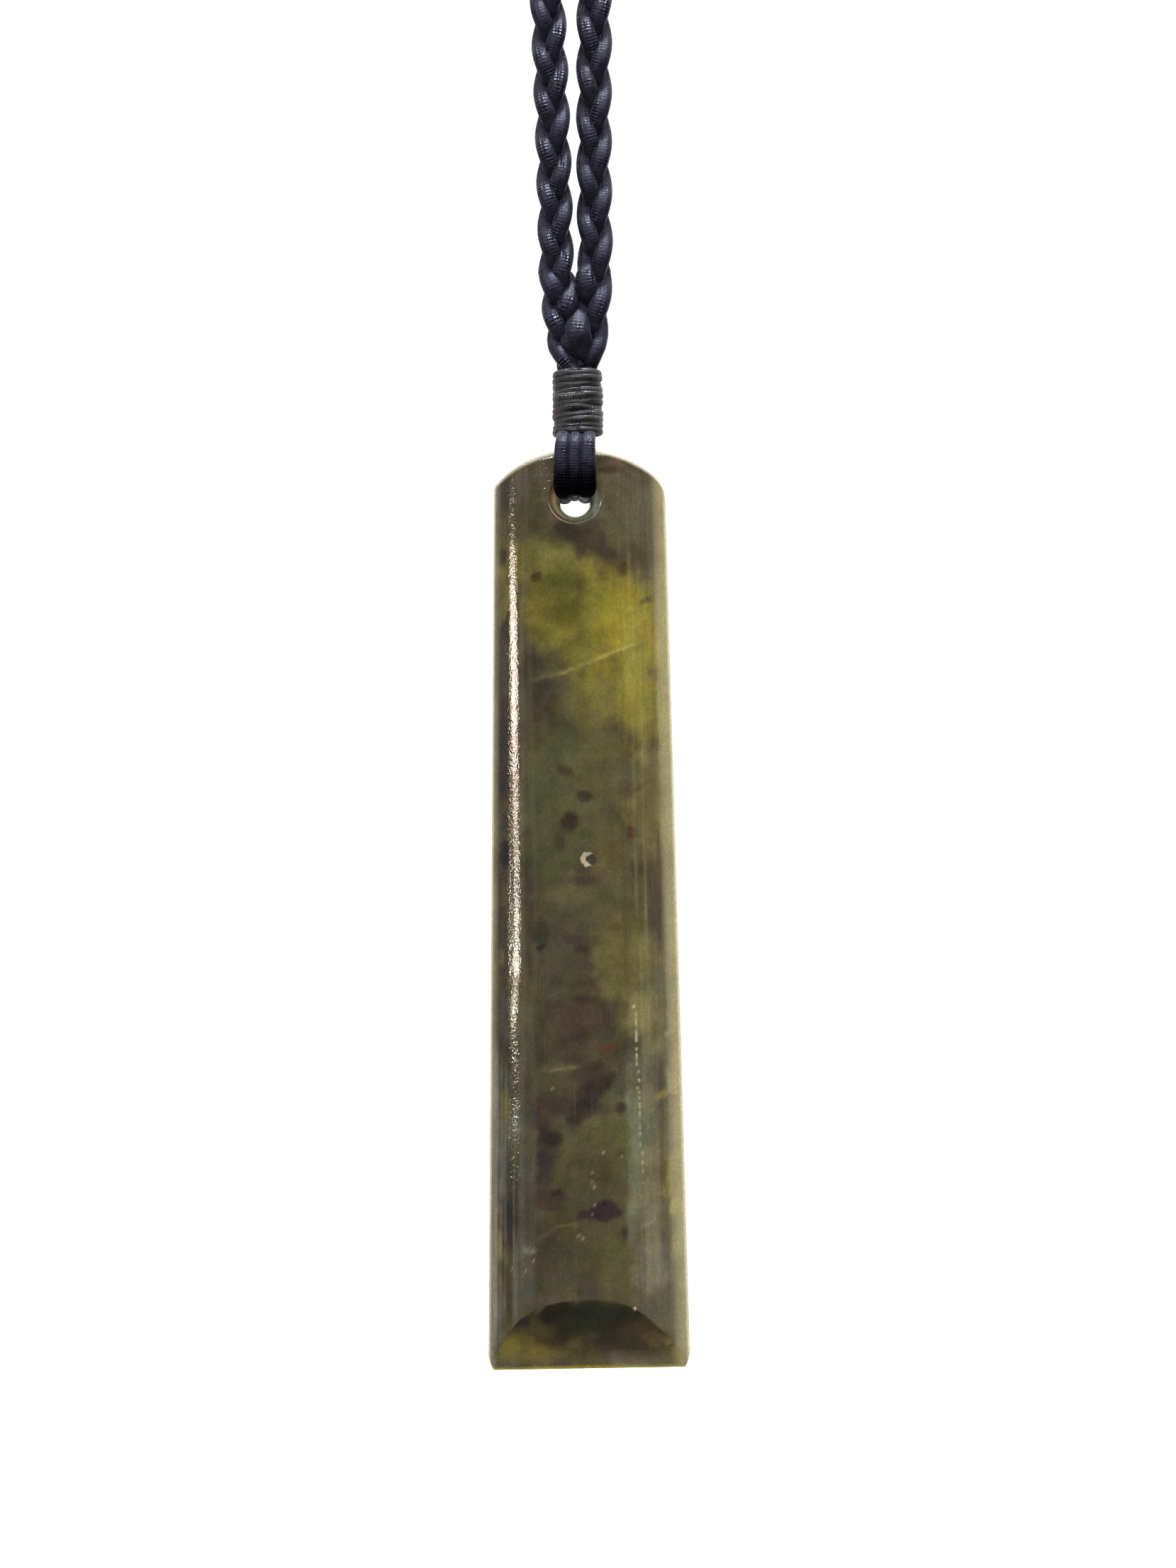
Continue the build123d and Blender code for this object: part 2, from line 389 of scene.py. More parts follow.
def nearest(values, wanted):
    return int(np.argmin(np.abs(values - wanted)))


def stoneMesh():
    top = topZ(stone["pollMiddle"] + gridShares * stone["pollHalfWidth"])
    acrossEdge = gridShares * stone["bladeHalfWidth"]
    clipped = np.maximum(np.abs(acrossEdge) - stone["bladeHalfWidth"] + stone["clipWidth"], 0)
    bottom = stone["edgeZ"] + stone["clipHeight"] * clipped / stone["clipWidth"]
    junction = np.maximum(stone["edgeZ"] + bevelEnd(gridShares), bottom + 0.15)
    loops = np.array([stoneLoop(*column) for column in zip(gridShares, bottom, junction, top)])
    columns, rows = loops.shape[:2]
    points = loops.reshape(-1, 3)

    def index(column, row):
        return column * rows + row % rows

    # a window of faces round the hole is left out on both faces of the stone
    face = np.ones((columns - 1, rows), dtype=bool)
    middle = np.array([stone["holeX"], stone["holeZ"]])
    reach = stone["holeWindow"]
    firstRow = len(bevelRows)
    middleColumn = nearest(gridShares, (stone["holeX"] - 0.05) / stone["pollHalfWidth"])
    z = loops[middleColumn, firstRow:firstRow + stone["rows"], 2]
    lowRow, highRow = [firstRow + nearest(z, middle[1] + way * reach) for way in (-1, 1)]
    leftColumn, rightColumn = [nearest(loops[:, lowRow, 0], middle[0] + way * reach) for way in (-1, 1)]
    backLow, backHigh = rows - 1 - lowRow, rows - 1 - highRow
    face[leftColumn:rightColumn, lowRow:highRow] = False
    face[leftColumn:rightColumn, backHigh:backLow] = False
    column, row = np.nonzero(face)
    quads = [np.stack([index(column, row), index(column + 1, row),
                       index(column + 1, row + 1), index(column, row + 1)], axis=1)]

    def windowLoop(low, high):
        step = 1 if high > low else -1
        loop = [(column, low) for column in range(leftColumn, rightColumn)]
        loop += [(rightColumn, row) for row in range(low, high, step)]
        loop += [(column, high) for column in range(rightColumn, leftColumn, -1)]
        loop += [(leftColumn, row) for row in range(high, low, -step)]
        return np.array([index(column, row) for column, row in loop])

    frontLoop, backLoop = windowLoop(lowRow, highRow), windowLoop(backLow, backHigh)
    way = unit(points[frontLoop][:, [0, 2]] - middle)
    rim, waist, soft = stone["holeRim"], stone["holeWaist"], stone["holeEdge"]

    def ring(place, y):
        return np.stack([place[:, 0], y, place[:, 1]], axis=1)

    def faceRings(loopPoints, height):
        # from the window's square to the round rim, over the face of the stone
        made = []
        for share in np.linspace(0, 1, stone["windowRings"])[1:]:
            eased = 1 - (1 - share) ** 1.5
            place = (1 - eased) * loopPoints[:, [0, 2]] + eased * (middle + way * (rim + soft))
            made.append(ring(place, height(place[:, 0], place[:, 1])))
        return made

    def rimRings(height, inward):
        # the softened rim, from the face into the hole
        made = []
        for turn in np.linspace(0, pi / 2, stone["rimRings"])[1:]:
            place = middle + way * (rim + soft * (1 - np.sin(turn)))
            made.append(ring(place, height + inward * soft * (1 - np.cos(turn))))
        return made

    rings = faceRings(points[frontLoop], frontY)
    backRings = faceRings(points[backLoop], backY)
    frontRim, backRim = rings[-1][:, 1], backRings[-1][:, 1]
    rings += rimRings(frontRim, 1)
    # the bore narrows in an arc from both faces to the waist
    narrowing, halfDepth = rim - waist, stone["holeHalfDepth"]
    arcRadius = narrowing / 2 + halfDepth ** 2 / (2 * narrowing)
    for share in np.linspace(0, 1, stone["boreRings"])[1:-1]:
        y = (frontRim + soft) * (1 - share) + (backRim - soft) * share
        radius = waist + arcRadius - np.sqrt(arcRadius ** 2 - np.clip(y, -halfDepth, halfDepth) ** 2)
        place = middle + way * radius[:, None]
        place[:, 1] -= stone["waistDrop"] * (rim - radius) / narrowing
        rings.append(ring(place, y))
    rings += rimRings(backRim, -1)[::-1] + backRings[::-1]
    count, start = len(frontLoop), len(points)
    points = np.concatenate([points] + rings)
    made = [start + np.arange(count) + number * count for number in range(len(rings))]
    ids = [frontLoop] + made + [backLoop]
    for first, second in zip(ids, ids[1:]):
        quads.append(np.stack([first, np.roll(first, -1), np.roll(second, -1), second], axis=1))
    return points, np.concatenate(quads)


# Jade, ground and polished: deep olive with yellow, brown and grey-green clouds, fine veins and
# long polishing lines, slightly translucent under a bright, not quite even polish.
stoneLook = {
    "gain": 0.8,             # brightness of all the stone's colours
    "roughness": 0.085,
    "ior": 1.61,
    "subsurface": 0.25,
    "subsurfaceTint": (1.0, 0.9, 0.5),
    "subsurfaceDepth": 0.0012,   # metres
    "reliefDepth": 0.000005,     # metres
    "olive": "#4c472c",
    "dark": "#3a3326",
    "grey": "#514f3c",
    "speck": "#a39c85",
    "grain": "#9a9482",
    "line": "#b0a878",
    # painted highlight along the poll's edge
    "crest": "#e0dcc4",
    "edge": "#8c8436",
    "wallLeft": "#5f4c3d",   # wall of the hole near its rims
    "wallRight": "#66695a",
    "litWaistLeft": "#a8976e",  # and deeper in, paler: painted light shining through the stone
    "waistRight": "#7d8672",
    "litWaistLow": "#94947a",
    "markReach": 1.15,       # a mark ends at about this many times its half sizes
    "raggedness": 0.3,       # how uneven that border is
    "glint": "#c9c5a0",
    "glints": 34,            # painted glints, a dotted highlight along the right arris
    "glintX": 2.98,          # where their row starts, across and above the edge
    "glintHeight": 24.5,
    "glintLean": 0.38,       # how far the row goes, across and down
    "glintDrop": 12.3,
    "glintHalfWidth": 0.06,
}
# Marks of the front, later ones over earlier ones: across, height above the edge, half sizes, lean
# in degrees, softness, strength, colour.
stoneMarks = [
    # poll, brown and grey olive
    (-2.61, 57.38, 2.51, 2.28, 0, 0.7, 0.9, "#453f2c"),
    (3.3, 56.82, 2.73, 2.73, 0, 0.7, 0.9, "#4c4634"),
    (-3.61, 57.85, 0.64, 1.46, 0, 0.8, 0.6, "#4f463e"),
    (-4.8, 57.42, 0.73, 1.82, 0, 0.6, 0.7, "#3a332b"),
    (-5.02, 55.14, 0.46, 1.0, 0, 0.8, 0.7, "#5a5334"),
    (-2.14, 58.37, 0.82, 0.73, 0, 0.8, 0.5, "#524a3c"),
    (-2.54, 56.24, 1.09, 0.73, 0, 0.8, 0.5, "#3b3625"),
    (-2.65, 55.19, 1.18, 0.46, 0, 0.8, 0.6, "#3a3524"),
    (-1.82, 55.91, 0.46, 1.0, 20, 0.8, 0.7, "#574437"),
    (2.52, 59.07, 0.55, 0.41, -20, 0.8, 0.6, "#604d3c"),
    (1.6, 58.58, 1.0, 0.27, -8, 0.8, 0.75, "#2e2720"),
    (2.96, 58.29, 0.91, 0.27, -30, 0.8, 0.6, "#3d342a"),
    (3.77, 57.91, 1.18, 0.36, -8, 0.8, 0.4, "#40392b"),
    (3.96, 55.22, 1.0, 2.28, 0, 0.8, 0.6, "#544c35"),
    (4.3, 56.81, 0.64, 1.18, 0, 0.8, 0.5, "#5a5239"),
    (2.45, 55.24, 1.37, 1.0, 0, 0.8, 0.4, "#494332"),
    (1.55, 55.85, 0.91, 0.55, 0, 0.8, 0.4, "#4e4c38"),
    # dark border and the yellow field under it
    (-2.47, 52.36, 3.42, 2.19, -6, 0.55, 0.95, "#5a562a"),
    (1.34, 48.65, 5.24, 4.56, 0, 0.4, 0.95, "#6a6128"),
    (-5.18, 51.04, 0.55, 2.28, 0, 0.5, 0.9, "#6b6434"),
    (-2.81, 53.65, 1.46, 1.0, 0, 0.8, 0.7, "#605c2e"),
    (-1.1, 52.8, 1.55, 0.82, -15, 0.8, 0.6, "#625d30"),
    (-0.84, 54.52, 1.09, 0.68, -10, 0.7, 0.85, "#2d261f"),
    (-1.76, 54.08, 0.46, 0.36, 0, 0.8, 0.5, "#3b3426"),
    (0.88, 54.04, 1.46, 0.91, -35, 0.7, 0.85, "#383124"),
    (1.69, 53.2, 1.18, 0.82, -20, 0.7, 0.85, "#352e23"),
    (3.05, 53.09, 1.37, 1.09, 0, 0.7, 0.75, "#3d3427"),
    (4.88, 53.24, 1.0, 1.18, 0, 0.7, 0.7, "#4e4634"),
    (2.81, 52.27, 0.64, 0.5, 10, 0.7, 0.8, "#33281c"),
    (3.91, 52.35, 1.18, 0.36, 8, 0.8, 0.6, "#4a3b26"),
    (-5.15, 53.23, 0.41, 0.64, 0, 0.7, 0.8, "#2d2822"),
    (-3.24, 52.47, 0.55, 0.36, 0, 0.8, 0.5, "#4d4826"),
    (-1.12, 51.52, 1.82, 0.68, 5, 0.8, 0.75, "#46451f"),
    (-2.17, 51.45, 0.46, 0.23, 0, 0.8, 0.4, "#5e5a34"),
    (-2.84, 51.91, 0.36, 0.32, 20, 0.5, 0.85, "#2f281b"),
    (-2.65, 49.86, 1.55, 1.18, 0, 0.8, 0.5, "#605a2c"),
    (-0.84, 49.24, 1.37, 1.55, 0, 0.8, 0.75, "#4c4815"),
    (2.73, 50.0, 2.28, 1.46, 0, 0.8, 0.7, "#786d22"),
    (2.93, 48.4, 2.51, 1.37, 0, 0.8, 0.75, "#857a2b"),
    (4.28, 47.69, 1.09, 2.73, 0, 0.8, 0.6, "#82772f"),
    (4.39, 51.24, 0.73, 0.55, 0, 0.8, 0.6, "#6c6237"),
    (4.46, 50.29, 0.64, 0.27, 14, 0.6, 0.8, "#453a26"),
    (5.01, 50.28, 0.46, 0.23, 0, 0.7, 0.6, "#564a33"),
    (3.87, 50.07, 0.36, 0.18, 30, 0.7, 0.6, "#4d4329"),
    (1.33, 47.97, 0.91, 0.64, 0, 0.8, 0.4, "#6e6420"),
    (-1.6, 50.6, 2.2, 1.9, 0, 0.9, 0.45, "#413f1a"),
    (-2.77, 48.04, 1.37, 0.73, 0, 0.8, 0.6, "#55511f"),
    (-0.73, 47.55, 1.37, 0.46, -10, 0.8, 0.5, "#575022"),
    # clouds under the yellow
    (-2.37, 45.07, 2.1, 2.82, 0, 0.6, 0.85, "#403b2b"),
    (-3.16, 46.45, 0.73, 1.0, 30, 0.7, 0.85, "#352f24"),
    (-1.98, 46.66, 0.64, 0.36, 0, 0.8, 0.5, "#4a452a"),
    (-3.82, 45.64, 0.64, 0.46, 0, 0.8, 0.7, "#2f2a24"),
    (-2.47, 44.53, 0.73, 0.82, -40, 0.7, 0.85, "#322d23"),
    (-1.75, 43.97, 0.55, 0.46, -30, 0.8, 0.7, "#38322a"),
    (-2.99, 43.08, 0.82, 0.73, 40, 0.8, 0.6, "#45392d"),
    (-3.77, 43.27, 0.36, 1.18, 0, 0.8, 0.4, "#3c3d2c"),
    (1.03, 43.65, 2.82, 1.64, 0, 0.7, 0.8, "#645c2c"),
    (3.76, 43.6, 1.82, 3.19, 0, 0.7, 0.85, "#70672e"),
    (2.7, 42.71, 0.32, 2.73, 0, 0.8, 0.4, "#5b5320"),
    (3.86, 41.78, 0.55, 3.19, 0, 0.8, 0.5, "#685f2f"),
    (0.91, 44.92, 1.37, 0.82, 0, 0.8, 0.5, "#6b6530"),
    (2.57, 40.43, 1.55, 1.09, 0, 0.8, 0.5, "#575129"),
    (-0.78, 42.22, 0.73, 0.32, 0, 0.8, 0.4, "#393522"),
    (0.32, 42.52, 1.18, 0.91, 0, 0.8, 0.4, "#4c472b"),
    (1.21, 41.14, 1.37, 0.82, 0, 0.8, 0.5, "#504b2a"),
    (-1.53, 40.96, 2.1, 1.37, 0, 0.8, 0.5, "#45422a"),
    (-1.6, 42.6, 1.9, 3.2, 0, 0.9, 0.5, "#35311f"),
    (3.5, 44.8, 1.5, 3.4, 0, 0.9, 0.42, "#8a8230"),
    # pale vein
    (-2.3, 45.35, 1.9, 0.22, 14, 0.9, 0.3, "#6d6742"),
    (0.3, 46.15, 1.9, 0.13, 21, 0.9, 0.5, "#8f8648"),
    (2.5, 47.02, 2.0, 0.11, 22, 0.9, 0.6, "#9c9250"),
    # grey green middle
    (-1.83, 36.41, 2.28, 5.92, 0, 0.5, 0.8, "#44442c"),
    (1.13, 36.35, 2.28, 5.01, 0, 0.5, 0.6, "#4a462c"),
    (4.24, 37.21, 1.55, 4.1, 0, 0.5, 0.85, "#5f5735"),
    (-1.1, 39.35, 0.73, 0.5, -18, 0.6, 0.85, "#33291f"),
    (2.54, 39.16, 0.91, 0.91, 0, 0.7, 0.7, "#454330"),
    (2.17, 38.52, 0.64, 0.55, 0, 0.8, 0.5, "#5a5340"),
    (3.53, 38.05, 1.09, 0.23, 32, 0.8, 0.6, "#443c25"),
    (2.88, 37.51, 0.55, 0.23, 20, 0.8, 0.5, "#453e29"),
    (-0.04, 37.51, 0.55, 0.5, -20, 0.6, 0.85, "#2f271e"),
    (0.94, 38.55, 0.73, 1.0, 0, 0.8, 0.4, "#544d30"),
    (-0.97, 35.89, 0.59, 0.64, -20, 0.6, 0.9, "#2a211f"),
    (-1.68, 34.67, 0.32, 0.73, 10, 0.7, 0.7, "#362e22"),
    (-1.48, 35.4, 0.36, 0.36, 0, 0.8, 0.6, "#3a3124"),
    (1.4, 36.44, 0.82, 0.41, 35, 0.7, 0.7, "#443a2d"),
    (0.49, 36.09, 1.0, 0.32, 10, 0.8, 0.6, "#453e2e"),
    (-0.26, 35.1, 1.0, 0.46, 0, 0.8, 0.5, "#3f4128"),
    (2.98, 35.28, 0.41, 0.41, 20, 0.6, 0.85, "#482c26"),
    (1.83, 34.52, 0.82, 0.32, 10, 0.8, 0.5, "#43371f"),
    (1.09, 33.85, 1.18, 0.73, 0, 0.8, 0.6, "#453b25"),
    (-0.73, 34.11, 0.73, 0.46, 0, 0.8, 0.5, "#4a4131"),
    (-0.2, 32.87, 0.59, 0.36, 0, 0.7, 0.8, "#3d322c"),
    (-0.31, 32.23, 1.55, 0.36, 0, 0.6, 0.85, "#3b302a"),
    (0.98, 32.62, 0.46, 0.55, 30, 0.8, 0.6, "#43372c"),
    (3.08, 32.86, 0.21, 0.77, 8, 0.7, 0.75, "#38291d"),
    (3.62, 32.94, 0.27, 0.73, 0, 0.7, 0.75, "#362719"),
    (3.33, 31.99, 1.18, 0.64, 0, 0.8, 0.4, "#4d4131"),
    (3.09, 30.95, 1.37, 0.91, 0, 0.8, 0.4, "#494030"),
    (-1.71, 30.02, 2.1, 1.0, 0, 0.7, 0.7, "#40422d"),
    (0.13, 31.27, 1.37, 0.55, 0, 0.8, 0.5, "#4b4832"),
    (-5.43, 31.23, 0.46, 0.91, 0, 0.8, 0.6, "#54452f"),
    # dark and purple clouds of the middle
    (-1.3, 27.28, 2.82, 2.82, 0, 0.5, 0.8, "#403a2c"),
    (2.34, 27.22, 2.1, 3.19, 0, 0.5, 0.8, "#55502e"),
    (3.49, 27.89, 1.37, 1.46, 0, 0.8, 0.7, "#655c33"),
    (1.92, 28.96, 0.91, 0.41, 0, 0.8, 0.4, "#4d4630"),
    (-3.01, 28.77, 0.64, 1.0, 0, 0.7, 0.8, "#312e24"),
    (-3.02, 27.86, 0.41, 0.23, 15, 0.6, 0.85, "#1d1b19"),
    (-3.28, 28.59, 0.27, 0.36, 0, 0.7, 0.6, "#242620"),
    (-0.92, 28.37, 0.73, 0.5, -20, 0.7, 0.75, "#362d27"),
    (-0.38, 27.81, 0.64, 0.32, 0, 0.7, 0.7, "#2f2822"),
    (0.15, 26.71, 0.55, 0.36, -35, 0.7, 0.6, "#362e26"),
    (-3.81, 27.33, 0.36, 0.73, 0, 0.7, 0.5, "#363028"),
    (-1.92, 25.74, 0.55, 0.5, 0, 0.7, 0.7, "#352c25"),
    (-2.81, 24.48, 0.73, 0.41, 10, 0.7, 0.6, "#37322a"),
    (-2.97, 23.21, 0.64, 0.91, 0, 0.8, 0.4, "#3c3427"),
    (-0.82, 23.36, 1.55, 1.64, 10, 0.5, 0.85, "#3d312a"),
    (-0.25, 24.62, 0.91, 0.41, -10, 0.7, 0.7, "#2f2621"),
    (0.68, 23.15, 0.55, 1.18, 0, 0.7, 0.5, "#3d3329"),
    (-1.39, 21.91, 1.18, 0.64, 0, 0.7, 0.6, "#3a2f27"),
    (-0.47, 22.53, 0.55, 0.41, 0, 0.7, 0.5, "#2f2720"),
    (1.15, 21.41, 0.82, 0.46, 12, 0.6, 0.75, "#4a3322"),
    (0.43, 21.79, 0.46, 0.32, 0, 0.8, 0.5, "#4d3d2c"),
    (-1.18, 20.81, 0.91, 0.41, 6, 0.7, 0.75, "#352a23"),
    (-2.41, 21.2, 0.55, 0.41, 20, 0.8, 0.6, "#3d3026"),
    (0.26, 25.21, 1.82, 0.46, 12, 0.8, 0.4, "#4b4531"),
    (2.27, 23.12, 0.64, 2.28, 0, 0.8, 0.5, "#4e4b2c"),
    (3.42, 23.56, 1.18, 2.28, 0, 0.7, 0.7, "#5e5738"),
    (4.75, 21.26, 0.73, 0.91, 0, 0.8, 0.5, "#5f5638"),
    (3.2, 23.4, 1.1, 2.6, 0, 0.9, 0.45, "#767044"),
    (-0.6, 11.0, 3.0, 6.0, 0, 0.9, 0.33, "#221d17"),
    # thin pale lines and the dark bands under them
    (-2.11, 20.14, 1.37, 0.32, 2, 0.8, 0.6, "#4b4530"),
    (-1.65, 20.09, 1.46, 0.15, 4, 0.7, 0.7, "#625b3c"),
    (-2.36, 18.87, 1.46, 0.73, 10, 0.7, 0.7, "#453e28"),
    (0.67, 20.14, 0.91, 0.55, 0, 0.7, 0.8, "#342b23"),
    (-0.88, 19.62, 0.73, 0.27, 0, 0.7, 0.6, "#352c23"),
    (1.3, 19.4, 0.64, 0.73, 0, 0.6, 0.8, "#2b2320"),
    (0.28, 18.69, 1.73, 0.73, 34, 0.6, 0.9, "#2b2420"),
    (2.02, 19.03, 0.55, 1.0, 0, 0.7, 0.7, "#36362a"),
    (-1.46, 17.81, 2.19, 0.73, 16, 0.6, 0.85, "#34292a"),
    (-0.33, 17.47, 1.18, 0.82, 30, 0.6, 0.85, "#2a221f"),
    (-3.06, 17.74, 0.82, 0.73, 0, 0.7, 0.8, "#3c2f2b"),
    (-0.93, 16.71, 0.64, 0.36, 0, 0.7, 0.7, "#261e1e"),
    (-2.94, 16.6, 1.09, 0.55, 18, 0.7, 0.8, "#352a28"),
    (2.04, 17.38, 0.46, 0.5, 0, 0.6, 0.85, "#2d2220"),
    (0.9, 17.31, 0.64, 0.41, 0, 0.7, 0.5, "#38312a"),
    (-1.49, 16.17, 0.73, 0.46, 0, 0.7, 0.6, "#483d33"),
    (1.33, 15.94, 1.64, 1.09, 0, 0.6, 0.8, "#4a4728"),
    (-0.59, 15.42, 1.09, 0.46, 0, 0.8, 0.4, "#3f3c28"),
    (-2.59, 15.64, 1.09, 0.68, 0, 0.6, 0.9, "#241c1e"),
    (-2.89, 14.28, 0.73, 1.09, 0, 0.6, 0.85, "#2c2325"),
    (-3.0, 13.0, 0.73, 0.55, 0, 0.7, 0.7, "#302626"),
    (-4.09, 13.57, 0.64, 0.73, 0, 0.7, 0.6, "#3f383a"),
    (-0.34, 14.05, 1.55, 1.55, 0, 0.7, 0.6, "#48402c"),
    (-1.51, 14.71, 0.55, 0.82, 0, 0.8, 0.5, "#50482f"),
    (1.1, 13.35, 1.0, 1.55, 0, 0.7, 0.6, "#3e3725"),
    (1.81, 14.56, 0.36, 0.55, 20, 0.8, 0.5, "#352d22"),
    (-2.6, 15.0, 1.1, 2.2, 0, 0.8, 0.55, "#2c2426"),
    (-1.2, 19.0, 2.6, 1.1, 14, 0.8, 0.45, "#352c26"),
    # lower body
    (-2.9, 12.2, 0.9, 1.4, 0, 0.8, 0.4, "#352c28"),
    (-2.66, 11.81, 1.09, 0.82, 0, 0.6, 0.85, "#3b2f28"),
    (-2.24, 12.17, 0.46, 0.23, 10, 0.6, 0.8, "#2b2320"),
    (-2.58, 11.08, 0.82, 0.27, 0, 0.7, 0.6, "#2f2722"),
    (-2.05, 9.98, 2.0, 0.91, 0, 0.6, 0.7, "#403927"),
    (0.52, 11.03, 1.18, 0.64, 8, 0.45, 0.95, "#2a1e22"),
    (-0.49, 10.87, 0.73, 0.36, 18, 0.6, 0.85, "#2e2326"),
    (-1.68, 10.11, 0.82, 0.14, 14, 0.7, 0.6, "#5c563a"),
    (-3.06, 9.45, 0.64, 0.18, 28, 0.7, 0.6, "#554c38"),
    (-1.05, 10.1, 0.27, 0.14, 0, 0.6, 0.5, "#5e6244"),
    (-2.61, 9.17, 0.46, 0.27, 20, 0.8, 0.5, "#372f27"),
    (0.22, 9.26, 1.82, 0.82, 0, 0.8, 0.5, "#4a4229"),
    (1.39, 8.47, 1.09, 0.91, 0, 0.6, 0.8, "#4b4929"),
    (-1.63, 8.15, 0.64, 0.41, 20, 0.7, 0.6, "#36322a"),
    (-1.1, 6.78, 1.82, 1.37, 0, 0.7, 0.5, "#453e2b"),
    (-3.02, 6.81, 1.55, 1.37, 0, 0.7, 0.5, "#3f3b2d"),
    (-0.19, 7.12, 0.55, 0.41, 0, 0.8, 0.5, "#3a3328"),
    (-0.21, 5.85, 1.0, 0.77, 0, 0.6, 0.8, "#41352f"),
    (-0.85, 5.77, 0.32, 0.46, 0, 0.7, 0.5, "#333029"),
    (1.36, 6.73, 0.64, 0.55, 0, 0.8, 0.5, "#453a2a"),
    (1.52, 5.55, 0.82, 0.55, 0, 0.8, 0.5, "#4a3f2d"),
    (2.13, 9.59, 0.21, 0.46, 0, 0.6, 0.8, "#2b2220"),
    (-2.59, 5.25, 1.55, 0.36, 4, 0.8, 0.5, "#48433a"),
    # right side, grey and yellow in slanting streaks
    (4.69, 15.33, 1.18, 2.28, 0, 0.6, 0.7, "#564d33"),
    (5.35, 22.07, 0.73, 0.27, 30, 0.7, 0.7, "#857b58"),
    (4.75, 21.35, 0.91, 0.32, 28, 0.7, 0.5, "#6a6043"),
    (4.83, 18.16, 0.73, 0.36, 30, 0.7, 0.7, "#7a6a38"),
    (4.46, 17.53, 0.55, 0.27, 20, 0.7, 0.7, "#47392c"),
    (4.92, 17.79, 0.36, 0.23, 0, 0.7, 0.6, "#40332a"),
    (5.52, 18.74, 0.41, 1.37, 20, 0.7, 0.6, "#857a5e"),
    (5.29, 13.05, 0.55, 1.55, -14, 0.6, 0.8, "#847937"),
    (5.53, 11.22, 0.41, 1.09, -10, 0.7, 0.8, "#8a7f42"),
    (4.82, 12.14, 0.46, 0.64, 0, 0.8, 0.5, "#5f5638"),
    (4.78, 9.87, 0.55, 0.82, 0, 0.7, 0.6, "#5c4d38"),
    (3.82, 7.15, 1.55, 1.82, 0, 0.5, 0.85, "#5e584a"),
    (4.29, 7.78, 0.82, 0.55, 20, 0.7, 0.6, "#53483f"),
    (3.17, 6.43, 0.82, 0.64, 0, 0.7, 0.6, "#625d50"),
    (3.51, 9.89, 0.64, 0.18, 20, 0.7, 0.7, "#726b59"),
    (3.61, 10.71, 1.18, 0.46, 25, 0.7, 0.6, "#544b42"),
    (5.48, 8.03, 0.46, 1.09, 0, 0.7, 0.6, "#6f6844"),
    (4.46, 4.4, 1.09, 1.18, 0, 0.6, 0.7, "#4c483c"),
    (3.24, 5.11, 0.82, 0.64, 0, 0.7, 0.6, "#4a463c"),
    (5.27, 3.66, 0.46, 0.73, 0, 0.7, 0.6, "#473f36"),
    # left side, grey with blue black and olive: partly the stone's colour, partly painted dark reflection
    # along the steep left facet
    (-5.12, 46.49, 0.46, 2.73, 0, 0.6, 0.8, "#453f38"),
    (-5.21, 41.47, 0.46, 2.73, 0, 0.6, 0.8, "#38322f"),
    (-5.13, 38.28, 0.36, 0.91, 0, 0.7, 0.7, "#29272b"),
    (-5.2, 33.73, 0.41, 1.09, 0, 0.6, 0.9, "#1b1c26"),
    (-5.26, 35.78, 0.36, 1.09, 0, 0.7, 0.6, "#2a292e"),
    (-5.29, 28.72, 0.46, 1.82, 0, 0.6, 0.7, "#3a332f"),
    (-5.63, 27.27, 0.32, 0.55, 0, 0.6, 0.8, "#57553a"),
    (-5.6, 26.35, 0.27, 0.46, 0, 0.6, 0.6, "#2e2927"),
    (-5.46, 23.71, 0.46, 2.28, 0, 0.6, 0.7, "#3b3a38"),
    (-5.77, 21.53, 0.23, 0.64, 0, 0.6, 0.7, "#292938"),
    (-5.44, 19.61, 0.55, 1.09, 0, 0.7, 0.7, "#4a443c"),
    (-5.47, 17.69, 0.41, 1.18, 0, 0.6, 0.9, "#5d5632"),
    (-5.77, 16.65, 0.36, 0.73, 0, 0.7, 0.7, "#5b5535"),
    (-4.72, 19.14, 0.55, 2.73, 0, 0.7, 0.6, "#403d37"),
    (-5.05, 15.96, 0.64, 1.37, 0, 0.6, 0.7, "#5a564c"),
    (-5.91, 13.69, 0.41, 3.19, 0, 0.6, 0.7, "#5e5c52"),
    (-5.44, 14.14, 0.23, 1.18, 0, 0.6, 0.7, "#363a3c"),
    (-5.28, 10.04, 0.27, 2.1, 0, 0.6, 0.85, "#25232c"),
    (-5.76, 11.41, 0.27, 1.37, 0, 0.7, 0.6, "#3e3b40"),
    (-6.09, 8.45, 0.36, 1.18, 0, 0.6, 0.85, "#706b49"),
    (-5.64, 7.76, 0.27, 0.64, 0, 0.7, 0.5, "#5a5740"),
    (-6.11, 4.58, 0.41, 2.73, 0, 0.6, 0.7, "#5d5a4b"),
    (-4.36, 8.2, 0.55, 0.91, 0, 0.7, 0.5, "#4a4a42"),
    (-4.08, 8.38, 0.5, 0.23, 0, 0.4, 0.6, "#6c7060"),
    (-4.31, 5.92, 0.82, 1.37, 0, 0.7, 0.6, "#4b493d"),
    (-5.16, 4.11, 0.36, 0.73, 30, 0.7, 0.7, "#302824"),
]
